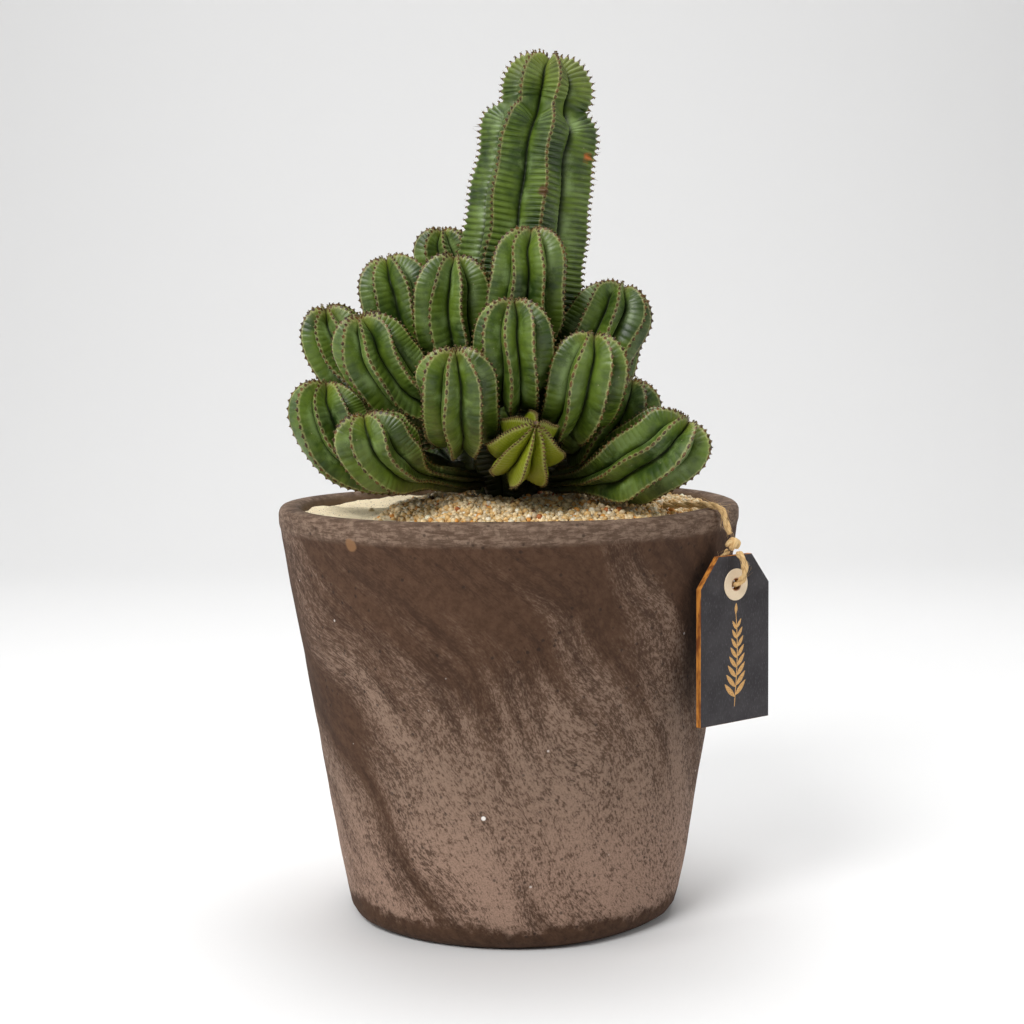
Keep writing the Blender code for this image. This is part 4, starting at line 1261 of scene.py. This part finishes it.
def turn_frames(turns):
    """Rotation matrices of unit quaternions (n, 4)."""
    w, x, y, z = turns.T
    rows = [
        [1 - 2 * (y * y + z * z), 2 * (x * y - z * w), 2 * (x * z + y * w)],
        [2 * (x * y + z * w), 1 - 2 * (x * x + z * z), 2 * (y * z - x * w)],
        [2 * (x * z - y * w), 2 * (y * z + x * w), 1 - 2 * (x * x + y * y)],
    ]
    return np.moveaxis(np.array(rows), -1, 0)


# -------------------------------------------------------------------------------------------- tag, twine

def tag_frame():
    """Origin and rows X, Y, Z of the tag at its hole: X along its width, Y out of its back, Z up."""
    centre = polar(TWINE_AZIMUTH, RIM_RADIUS + TAG_STANDOFF, POT_HEIGHT - TAG_DROP)
    angle = math.radians(TAG_FACING)
    axes = np.array([[math.cos(angle), math.sin(angle), 0.0], [-math.sin(angle), math.cos(angle), 0.0],
                     [0.0, 0.0, 1.0]])
    return centre, axes


def on_tag(points):
    """Points of the tag's own frame in the object's frame."""
    centre, axes = tag_frame()
    return np.asarray(points) @ axes + centre


def edge_points(corners, count):
    """Points round a closed outline, and every corner among them."""
    closed = np.vstack([corners, corners[:1]])
    walked = run_lengths(closed)
    lengths = np.union1d(np.linspace(0.0, walked[-1], count, endpoint=False), walked[:-1])
    return at_lengths(closed, lengths, walked)


def plate_grid(outline, hole_radius, thickness, bevel, lift):
    """Plate with a round hole, as one ring of rows: across the front from the hole to the edge, over the
    rounded edge, across the back and through the hole. Each outline point faces one point of the hole."""
    angle = np.arctan2(outline[:, 1], outline[:, 0])
    hole = hole_radius * circle(angle)
    inward = -unit(outline)
    half = thickness / 2.0
    arc = np.linspace(0.0, math.pi / 2.0, 5)
    edge = outline + inward * bevel
    steps = []
    for share in np.linspace(0.0, 1.0, 22)[:-1]:
        steps.append((hole + (edge - hole) * share, -half, 0.0))
    for turns, face in ((arc, -1.0), (arc[::-1], 1.0)):
        for turn in turns:
            rounded = outline + inward * bevel * (1.0 - math.sin(turn))
            steps.append((rounded, face * (half - bevel * (1.0 - math.cos(turn))), turn / arc[-1]))
    for share in np.linspace(1.0, 0.0, 12)[1:]:
        steps.append((hole + (edge - hole) * share, half, 0.0))
    for share in (0.66, 0.33):
        steps.append((hole, -half + thickness * share, 1.0))
    flat = np.array([row for row, _, _ in steps])
    level = np.zeros(flat.shape[:2])
    depth = level + np.array([value for _, value, _ in steps])[:, None] + lift
    cut = level + np.array([value for _, _, value in steps])[:, None]
    grid = np.stack([flat[..., 0], depth, flat[..., 1]], axis=-1)
    return grid, np.stack([flat[..., 0] / MM, flat[..., 1] / MM, cut], axis=-1)


def tag_outline():
    """Board outline in (width, height) about its hole: square below, with its upper corners cut off."""
    half = TAG_WIDTH / 2.0
    top = TAG_HOLE_DROP
    bottom = TAG_HOLE_DROP - TAG_HEIGHT
    cut = TAG_CORNER_CUT
    slope = 1.25 * cut
    return np.array([(half, bottom), (half, top - slope), (half - cut, top), (cut - half, top),
                     (-half, top - slope), (-half, bottom)])


def printed_lens(surface, line, widest, blunt):
    """Flat lens printed on the tag along a line (width, height): its half-width goes as a power of the
    sine of the way along it."""
    proud = -TAG_THICKNESS / 2.0
    way = np.linspace(0.02, 0.98, len(line))
    width = widest * np.sin(math.pi * way) ** blunt
    heading = unit(np.gradient(line, axis=0))
    across = np.stack([-heading[:, 1], heading[:, 0]], axis=-1)
    angles = angles_round(10)
    sideways = line[:, None, :] + across[:, None, :] * (width[:, None] * np.cos(angles))[..., None]
    depth = proud + 0.05 * MM * np.sin(angles) + 0.0 * width[:, None]
    grid = np.stack([sideways[..., 0], depth, sideways[..., 1]], axis=-1)
    root, point = (on_tag([end[0], proud, end[1]]) for end in (line[0], line[-1]))
    surface.tube(on_tag(grid), root, point)


def sprig_shapes(surface):
    """Printed sprig: a bowed stalk, eight pairs of leaves that shorten upwards, and one at its top."""
    up = np.linspace(-0.0555, -0.0125, 60)
    share = (up - up[0]) / (up[-1] - up[0])
    stalk = np.stack([1.3 * MM * np.sin(3.3 * share - 0.4), up], axis=-1)
    printed_lens(surface, stalk, 0.30 * MM, 0.25)
    way = np.linspace(0.0, 1.0, 20)
    for number in range(8):
        root = stalk[6 + 6 * number]
        long = (8.2 - 0.55 * number) * MM
        tilt = math.radians(52.0 - 2.0 * number)
        for hand in (-1.0, 1.0):
            x = root[0] + hand * long * math.sin(tilt) * way
            z = root[1] + long * (math.cos(tilt) * way + 0.16 * way * way) + 0.7 * MM * (hand > 0)
            printed_lens(surface, np.stack([x, z], axis=-1), (1.25 - 0.06 * number) * MM, 0.9)
    top = stalk[-1] + np.stack([0.3 * MM * way, 5.0 * MM * way - MM], axis=-1)
    printed_lens(surface, top, 0.9 * MM, 0.9)


def knot_centre():
    """Middle of the knot, straight above the tag's hole."""
    return on_tag([0.0, 0.0, KNOT_RISE])


def tail_route():
    """From the gravel, over the rim and down to the knot."""
    knot = knot_centre()
    top = POT_HEIGHT + TWINE_DIAMETER / 2.0 + FIT + 0.0002
    over = polar(TWINE_AZIMUTH, RIM_RADIUS + 0.0035, POT_HEIGHT - 0.0048)
    return np.array([
        polar(TWINE_AZIMUTH - 1.0, RIM_RADIUS - 0.0270, POT_HEIGHT + 0.0012),
        polar(TWINE_AZIMUTH - 0.5, RIM_RADIUS - 0.0180, POT_HEIGHT + 0.0018),
        polar(TWINE_AZIMUTH, RIM_RADIUS - 0.0100, top),
        polar(TWINE_AZIMUTH, RIM_RADIUS - 0.0035, top),
        polar(TWINE_AZIMUTH, RIM_RADIUS + 0.0016, POT_HEIGHT + 0.0003),
        over,
        knot + unit(over - knot) * (KNOT_RADIUS + FIT),
    ])


def loop_route():
    """Round loop through the tag's hole, from the knot's front to its back."""
    side = np.array([(3.1, 14.9), (7.0, 10.4), (6.8, 4.4), (3.6, 0.9)]) * MM
    front = np.stack([np.zeros(4), -side[:, 0], side[:, 1]], axis=-1)
    back = front[::-1] * np.array([1.0, -1.0, 1.0])
    return on_tag(np.vstack([front, [[0.0, 0.0, 0.0]], back]))


def twisted_plies(surface, path, start_side, plies, lay_length, swing, seed):
    """Plies of a cord: each a round tube swung round the path by the lay's angle, its girth uneven.
    Attribute lay holds the millimetres along, the turn round the ply, and the depth between plies."""
    walked = run_lengths(path)
    bumps = ripples(walked[:, None], 0.004, seed, 12)
    angles = angles_round(PLY_COLUMNS)
    for ply in range(plies):
        phase = FULL_TURN * (walked / lay_length + ply / plies)
        sway = swing * circle(phase)
        radius = (TWINE_DIAMETER / 2.0 - swing) * (1.0 + 0.07 * bumps)
        taper = np.minimum(1.0, 0.55 + np.minimum(walked, walked[-1] - walked) / (1.2 * MM))
        grid = round_tube(path, radius * taper, PLY_COLUMNS, start_side, sway)
        facing = np.cos(angles[None, :] - phase[:, None])
        # Depth between the plies, which the jute's material darkens as painted shade.
        deep = np.clip(-facing, 0.0, 1.0)
        lay = np.stack([walked[:, None] / MM + 0.0 * facing, angles[None, :] / FULL_TURN + 0.0 * facing,
                        deep], axis=-1)
        surface.tube(grid, grid[0].mean(axis=0), grid[-1].mean(axis=0), lay=lay)


def knot_surface(surface):
    """Tight overhand knot: a thick strand along a trefoil curve about the knot's middle."""
    turns = angles_round(120)
    size = 0.82 * MM
    wide = 2.0 + np.cos(3.0 * turns)
    line = size * np.stack([wide * np.cos(2.0 * turns), wide * np.sin(2.0 * turns) * 0.86,
                            1.5 * np.sin(3.0 * turns)], axis=-1)
    line = on_tag(line @ np.array([[0.94, 0.0, 0.34], [0.0, 1.0, 0.0], [-0.34, 0.0, 0.94]])) - tag_frame()[0]
    line = line + knot_centre()
    heading = unit(np.roll(line, -1, axis=0) - np.roll(line, 1, axis=0))
    away = line - knot_centre()
    side = unit(away - heading * np.sum(away * heading, axis=-1, keepdims=True))
    third = np.cross(heading, side)
    angles = angles_round(PLY_COLUMNS)
    radius = 1.30 * MM * (1.0 + 0.10 * np.cos(2.0 * angles[None, :] - 9.0 * turns[:, None]))
    grid = rings(line, side, third, radius[..., None], angles)
    walked = np.linspace(0.0, 30.0, 120)
    # The lay's third value on the knot marks its inner side, which the jute darkens as painted shade.
    lay = np.stack([walked[:, None] + 0.0 * radius, angles[None, :] / FULL_TURN + 0.0 * radius,
                    np.clip(-np.cos(angles), 0.0, 1.0)[None, :] * 0.6 + 0.0 * radius], axis=-1)
    surface.tube(grid, ring=True, lay=lay)


def loose_fibres(surface, path, start_side, count, seed):
    """Stray fibres: thin three-sided hairs that leave the cord at a slant and curl back along it."""
    dice = np.random.default_rng(seed)
    tangent, side, third = carried_frames(path, start_side)
    for _ in range(count):
        index = int(dice.integers(2, len(path) - 2))
        angle = dice.uniform(0.0, FULL_TURN)
        outward = math.cos(angle) * side[index] + math.sin(angle) * third[index]
        around = np.cross(tangent[index], outward)
        long = dice.uniform(1.6, 5.5) * MM
        way = np.linspace(0.0, 1.0, 7)[:, None]
        hand = dice.choice([-1.0, 1.0])
        line = (path[index] + outward * (TWINE_DIAMETER * 0.42 + 0.30 * long * way ** 0.8)
                + tangent[index] * hand * long * way + around * long * dice.uniform(-0.5, 0.5) * way ** 2)
        grid = round_tube(line, 0.065 * MM * (1.0 - 0.6 * way[:, 0]), 3, outward)
        lay = np.array([20.0 * angle, angle, 0.0])
        surface.tube(grid, grid[0].mean(axis=0), grid[-1].mean(axis=0), lay=lay)


# --------------------------------------------------------------------------------------------- settings

class PotSettings(PropertyGroup):
    """Sizes and colours of the clay pot"""
    wobble: FloatProperty(name="Unevenness", description="Size of the hand-made ripples", default=0.0007,
                          unit="LENGTH", precision=5)
    rows: IntProperty(name="Rows", description="Rows of the pot's surface", default=300)
    steps: IntProperty(name="Steps", description="Steps round the pot", default=320)
    clay_colour: FloatVectorProperty(name="Clay", description="Dark bare clay", subtype="COLOR",
                                     default=shade(68, 47, 33))
    clay_light: FloatVectorProperty(name="Clay, lighter", description="Lighter bare clay", subtype="COLOR",
                                    default=shade(86, 62, 46))
    bloom_colour: FloatVectorProperty(name="Bloom", description="Pale bloom on the clay", subtype="COLOR",
                                      default=shade(142, 118, 101))
    bloom_warm: FloatVectorProperty(name="Bloom, low", description="Rosy bloom near the foot",
                                    subtype="COLOR", default=shade(164, 134, 116))


class GroundSettings(PropertyGroup):
    """Sizes and colours of the sand and gravel"""
    stone_size: FloatProperty(name="Stone size", description="Middle size of a stone", default=0.0026,
                              unit="LENGTH", precision=5)
    sand_light: FloatVectorProperty(name="Sand", description="Pale grains", subtype="COLOR",
                                    default=shade(254, 240, 208))
    sand_dark: FloatVectorProperty(name="Sand, darker", description="Darker grains", subtype="COLOR",
                                   default=shade(236, 214, 174))


class StemSettings(PropertyGroup):
    """Shape and colours of the stems' skin"""
    ribs: IntProperty(name="Ribs", description="Ribs of each side stem", default=8, min=5, max=12)
    groove_depth: FloatProperty(name="Groove", description="Depth of a groove as a share of the radius",
                                default=0.46, min=0.1, max=0.6)
    keel: FloatProperty(name="Keel", description="How straight a flank leaves its crest", default=0.78,
                        min=0.0, max=0.85)
    shield_spacing: FloatProperty(name="Shield spacing", description="Distance between two spine shields",
                                  default=0.0028, unit="LENGTH", precision=5)
    tooth_height: FloatProperty(name="Tooth", description="Height of the tooth under a shield",
                                default=0.00042, unit="LENGTH", precision=5)
    fold_height: FloatProperty(name="Fold", description="Height of the folds across a flank",
                               default=0.00016, unit="LENGTH", precision=5)
    skin_deep: FloatVectorProperty(name="Skin, deep", description="Darker flank green", subtype="COLOR",
                                   default=shade(42, 64, 15))
    skin_mid: FloatVectorProperty(name="Skin", description="Flank green", subtype="COLOR",
                                  default=shade(92, 114, 33))
    # Blue-green wax bloom, partly painted sheen where it gathers toward the grooves.
    bloom_and_sheen: FloatVectorProperty(name="Waxy bloom", description="Blue-green wax", subtype="COLOR",
                                    default=shade(130, 152, 92))
    # Painted shade: the dark green painted into the grooves and the folds' creases.
    groove_shade: FloatVectorProperty(name="Groove", description="Green of the grooves", subtype="COLOR",
                                     default=shade(20, 33, 8))
    skin_warm: FloatVectorProperty(name="Warm green", description="Young yellow-green skin",
                                   subtype="COLOR", default=shade(132, 140, 24))
    skin_tip: FloatVectorProperty(name="Tip", description="Green of the growing tip", subtype="COLOR",
                                  default=shade(138, 146, 54))
    edge_colour: FloatVectorProperty(name="Crest edging", description="Corky edge of a crest",
                                     subtype="COLOR", default=shade(186, 180, 122))
    scar_colour: FloatVectorProperty(name="Shield", description="Brown spine shield", subtype="COLOR",
                                     default=shade(62, 42, 19))
    scar_rust: FloatVectorProperty(name="Shield, rusty", description="Rusty spine shield",
                                   subtype="COLOR", default=shade(112, 78, 36))


class TagSettings(PropertyGroup):
    """Sizes and colours of the tag and its twine"""
    bevel: FloatProperty(name="Edge rounding", description="Rounding of the board's edges",
                         default=0.0003, unit="LENGTH", precision=5)
    board_colour: FloatVectorProperty(name="Board", description="Charcoal paint", subtype="COLOR",
                                      default=shade(50, 47, 49))
    edge_burn: FloatVectorProperty(name="Scorch", description="Scorched edge", subtype="COLOR",
                                   default=shade(116, 62, 22))
    edge_honey: FloatVectorProperty(name="Cut edge", description="Honey-coloured cut edge",
                                    subtype="COLOR", default=shade(196, 128, 52))
    ring_colour: FloatVectorProperty(name="Eyelet", description="Pale eyelet", subtype="COLOR",
                                     default=shade(240, 222, 194))
    print_colour: FloatVectorProperty(name="Print", description="Tan print", subtype="COLOR",
                                      default=shade(218, 172, 110))
    jute_light: FloatVectorProperty(name="Jute", description="Light jute fibre", subtype="COLOR",
                                    default=shade(236, 204, 150))
    jute_dark: FloatVectorProperty(name="Jute, dark", description="Dark jute fibre", subtype="COLOR",
                                   default=shade(190, 148, 94))
    lay_length: FloatProperty(name="Lay", description="Length of one turn of the twine's plies",
                              default=0.0125, unit="LENGTH", precision=5)


class StageSettings(PropertyGroup):
    """Floor, lights and lens"""
    floor_colour: FloatVectorProperty(name="Floor", description="Pale floor and backdrop",
                                      subtype="COLOR", default=shade(235, 235, 235))
    key_power: FloatProperty(name="Key light", description="Power of the large soft light in front",
                             default=27.0, unit="POWER")
    side_power: FloatProperty(name="Side lights", description="Power of each soft side light",
                              default=5.0, unit="POWER")
    backdrop_power: FloatProperty(name="Backdrop light", description="Power of the light on the backdrop",
                                  default=20.0, unit="POWER")
    lens: FloatProperty(name="Lens", description="Camera's focal length in millimetres", default=62.99)


# -------------------------------------------------------------------------------------------- operators

class EUPHORBIA_OT_pot(Operator):
    """Turn the clay pot and give it its smeared, fired finish"""
    bl_idname = "euphorbia.pot"
    bl_label = "Clay pot"

    def execute(self, context):
        settings = context.scene.euphorbia_pot
        surface = Surface()
        surface.tube(pot_grid(settings), ring=True)
        pot = surface.piece("clay_pot", clay_finish(settings))
        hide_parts("pot")
        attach(pot, ROOT)
        return {"FINISHED"}


class EUPHORBIA_OT_ground(Operator):
    """Lay the soil, the sand and the gravel"""
    bl_idname = "euphorbia.ground"
    bl_label = "Soil, sand and gravel"

    def execute(self, context):
        settings = context.scene.euphorbia_ground
        soil = bpy.data.objects["potting_soil"]
        soil.data.materials.clear()
        soil.data.materials.append(soil_finish())
        sand_surface = Surface()
        sand_surface.tube(sand_grid(), ring=True)
        sand = sand_surface.piece("sand_surface", sand_finish(settings))
        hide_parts("sand_dressing")
        mound = Surface()
        bed_surface(mound)
        bed = mound.piece("gravel_bed", bed_finish())
        loose = Surface()
        gravel_stones(loose, settings)
        stones = loose.piece("gravel_stones", stone_finish())
        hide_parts("gravel_dressing")
        for piece in (sand, bed, stones):
            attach(piece, ROOT)
        return {"FINISHED"}


class EUPHORBIA_OT_column(Operator):
    """Grow the main stem with its shields and spines"""
    bl_idname = "euphorbia.column"
    bl_label = "Main stem"

    def execute(self, context):
        settings = context.scene.euphorbia_stems
        stem = main_stem(settings)
        surface = Surface()
        stem.grow(surface, 400, 24, 22)
        stem.shields(surface, 1.35 * MM, 1.5 * MM, 0.22)
        stem.long_spines(surface, LONG_SPINES)
        column = surface.piece("column", shared_skin(settings))
        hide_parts("main_stem")
        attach(column, ROOT)
        return {"FINISHED"}


class EUPHORBIA_OT_side_stems(Operator):
    """Grow the side stems, one piece for each"""
    bl_idname = "euphorbia.side_stems"
    bl_label = "Side stems"

    def execute(self, context):
        settings = context.scene.euphorbia_stems
        skin = shared_skin(settings)
        for number, row in enumerate(SIDE_STEMS, start=1):
            stem = side_stem(row, settings, 100 + number, number == YOUNG_STEM)
            surface = Surface()
            stem.grow(surface, 136, 12, 17)
            stem.shields(surface, 1.0 * MM, 0.80 * MM, 0.34)
            branch = surface.piece(f"branch_{number:02d}", skin)
            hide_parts(f"side_stem_{number:02d}")
            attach(branch, ROOT)
        return {"FINISHED"}


class EUPHORBIA_OT_tag(Operator):
    """Cut the tag, its eyelet and its printed sprig"""
    bl_idname = "euphorbia.tag"
    bl_label = "Tag"

    def execute(self, context):
        settings = context.scene.euphorbia_tag
        grid, place = plate_grid(edge_points(tag_outline(), 220), TAG_HOLE_RADIUS, TAG_THICKNESS,
                                 settings.bevel, 0.0)
        surface = Surface()
        surface.tube(on_tag(grid), ring=True, board_place=place)
        board = surface.piece("tag_plate", board_finish(settings))
        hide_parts("tag_board")
        ring_edge = RING_RADIUS * circle(angles_round(120))
        lift = -(TAG_THICKNESS / 2.0 + RING_THICKNESS / 2.0 + 0.00002)
        grid, place = plate_grid(ring_edge, TAG_HOLE_RADIUS, RING_THICKNESS, 0.00018, lift)
        surface = Surface()
        surface.tube(on_tag(grid), ring=True, board_place=place)
        ring = surface.piece("tag_eyelet", paper_finish(settings))
        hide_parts("tag_ring")
        surface = Surface()
        sprig_shapes(surface)
        sprig = surface.piece("tag_sprig", print_finish(settings))
        for piece in (board, ring, sprig):
            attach(piece, ROOT)
        return {"FINISHED"}


class EUPHORBIA_OT_twine(Operator):
    """Lay the twine over the rim, knot it and hang the tag from its loop"""
    bl_idname = "euphorbia.twine"
    bl_label = "Twine"

    def execute(self, context):
        settings = context.scene.euphorbia_tag
        jute = jute_finish(settings)
        tail_path = smooth_line(tail_route(), 150)
        loop_path = smooth_line(loop_route(), 130)
        beside = tag_frame()[1][0]
        surface = Surface()
        twisted_plies(surface, tail_path, UP, 2, settings.lay_length, PLY_SWING, 61)
        tail = surface.piece("twine_tail", jute)
        surface = Surface()
        twisted_plies(surface, loop_path, beside, 2, settings.lay_length, PLY_SWING, 62)
        loop = surface.piece("twine_eye", jute)
        surface = Surface()
        knot_surface(surface)
        knot = surface.piece("twine_bind", jute)
        surface = Surface()
        loose_fibres(surface, tail_path, UP, 90, 63)
        loose_fibres(surface, loop_path, beside, 50, 64)
        fibres = surface.piece("twine_fibres", jute)
        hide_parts("tag_twine")
        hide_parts("twine_loop")
        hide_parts("twine_knot")
        for piece in (tail, loop, knot, fibres):
            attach(piece, ROOT)
        return {"FINISHED"}


class EUPHORBIA_OT_stage(Operator):
    """Set out the floor, the lights and the camera"""
    bl_idname = "euphorbia.stage"
    bl_label = "Stage"

    def execute(self, context):
        settings = context.scene.euphorbia_stage
        build_stage(settings)
        place_lights(settings)
        place_camera(settings)
        return {"FINISHED"}


def shared_skin(settings):
    """The skin material, made once for all the stems."""
    return bpy.data.materials.get("stem_skin_waxy") or skin_finish(settings)


def build_stage(settings):
    """Pale floor that sweeps up into a backdrop: a line carried sideways."""
    turn = np.linspace(0.0, math.pi / 2.0, 24)
    bend = np.stack([1.3 + 0.9 * np.sin(turn), 0.9 - 0.9 * np.cos(turn)], axis=-1)
    line = np.vstack([[(-3.0, 0.0), (-1.0, 0.0), (0.0, 0.0), (1.0, 0.0)], bend, [(2.2, 2.0), (2.2, 4.0)]])
    across = np.linspace(-4.0, 4.0, 9)
    back = line[:, :1] + 0.0 * across
    up = line[:, 1:] + 0.0 * across
    grid = np.stack([across + 0.0 * back, back, up], axis=-1)
    rows, columns = grid.shape[:2]
    index = np.arange(rows * columns).reshape(rows, columns)
    quads = np.stack([index[:-1, :-1], index[:-1, 1:], index[1:, 1:], index[1:, :-1]], axis=-1)
    surface = Surface()
    surface.add(grid.reshape(-1, 3), [quads.reshape(-1, 4)])
    finish = Finish("pale_floor", 0.8, 0.2)
    cloud = finish.noise(finish.place(), 1.5, 1.0)
    darker = tuple(0.985 * value for value in settings.floor_colour)
    colour = finish.mix(cloud, tuple(settings.floor_colour), darker)
    floor = surface.piece("floor_sweep", finish.wear(colour))


def place_lights(settings):
    """Round soft lights: one above and in front, one at each side, one on top and one that washes the
    backdrop; and an even, faintly warm sky."""
    scene = bpy.context.scene
    plant = (0.0, 0.0, 0.22)
    backdrop = (0.0, 2.2, 0.5)
    rigs = [
        ("key_light", (-0.75, -1.35, 1.50), plant, 0.8, settings.key_power),
        ("left_light", (-1.5, -0.5, 0.85), plant, 1.0, settings.side_power * 1.25),
        ("right_light", (1.5, -0.4, 0.75), plant, 1.0, settings.side_power),
        ("top_light", (0.1, 0.35, 1.8), plant, 1.4, settings.key_power * 0.62),
        ("backdrop_light", (0.0, 0.9, 2.6), backdrop, 2.0, settings.backdrop_power),
    ]
    for name, place, target, size, power in rigs:
        data = bpy.data.lights.new(name, "AREA")
        data.shape = "DISK"
        data.size = size
        data.energy = power
        light = bpy.data.objects.new(name, data)
        light.location = place
        aim = Vector(target) - Vector(place)
        light.rotation_euler = aim.to_track_quat("-Z", "Y").to_euler()
        scene.collection.objects.link(light)
    world = bpy.data.worlds.new("studio_sky")
    world.use_nodes = True
    sky = world.node_tree.nodes["Background"]
    sky.inputs["Color"].default_value = (1.0, 0.99, 0.975, 1.0)
    sky.inputs["Strength"].default_value = 0.20
    scene.world = world


def place_camera(settings):
    """Camera at eye height just above the rim, tipped down and rolled by half a degree."""
    data = bpy.data.cameras.new("camera")
    data.lens = settings.lens
    data.sensor_width = 36.0
    data.clip_start = 0.01
    camera = bpy.data.objects.new("camera", data)
    tip = Matrix.Rotation(math.radians(90.0 - CAMERA_TIP), 4, "X")
    roll = Matrix.Rotation(math.radians(CAMERA_ROLL), 4, "Z")
    camera.matrix_world = Matrix.Translation(CAMERA_PLACE) @ tip @ roll
    scene = bpy.context.scene
    scene.collection.objects.link(camera)
    scene.camera = camera
    scene.view_settings.view_transform = "Standard"


class EUPHORBIA_PT_panel(Panel):
    """Buttons that build the potted euphorbia piece by piece"""
    bl_label = "Potted Euphorbia"
    bl_idname = "EUPHORBIA_PT_panel"
    bl_space_type = "VIEW_3D"
    bl_region_type = "UI"
    bl_category = "Euphorbia"

    def draw(self, context):
        for operator in OPERATORS:
            self.layout.operator(operator.bl_idname)


SETTINGS = {
    "euphorbia_pot": PotSettings,
    "euphorbia_ground": GroundSettings,
    "euphorbia_stems": StemSettings,
    "euphorbia_tag": TagSettings,
    "euphorbia_stage": StageSettings,
}
OPERATORS = (
    EUPHORBIA_OT_stage,
    EUPHORBIA_OT_tag,
    EUPHORBIA_OT_twine,
    EUPHORBIA_OT_pot,
    EUPHORBIA_OT_ground,
    EUPHORBIA_OT_column,
    EUPHORBIA_OT_side_stems,
)


def register():
    """Register the classes and hang the settings on the scene."""
    for group in SETTINGS.values():
        bpy.utils.register_class(group)
    for operator in OPERATORS:
        bpy.utils.register_class(operator)
    bpy.utils.register_class(EUPHORBIA_PT_panel)
    for name, group in SETTINGS.items():
        setattr(bpy.types.Scene, name, PointerProperty(type=group))


def unregister():
    """Undo what register did, last first."""
    for name in SETTINGS:
        delattr(bpy.types.Scene, name)
    bpy.utils.unregister_class(EUPHORBIA_PT_panel)
    for operator in reversed(OPERATORS):
        bpy.utils.unregister_class(operator)
    for group in reversed(list(SETTINGS.values())):
        bpy.utils.unregister_class(group)


def main():
    """Build every piece and the stage."""
    register()
    bpy.ops.euphorbia.stage()
    bpy.ops.euphorbia.tag()
    bpy.ops.euphorbia.twine()
    bpy.ops.euphorbia.pot()
    bpy.ops.euphorbia.ground()
    bpy.ops.euphorbia.column()
    bpy.ops.euphorbia.side_stems()


if __name__ == "__main__":
    main()
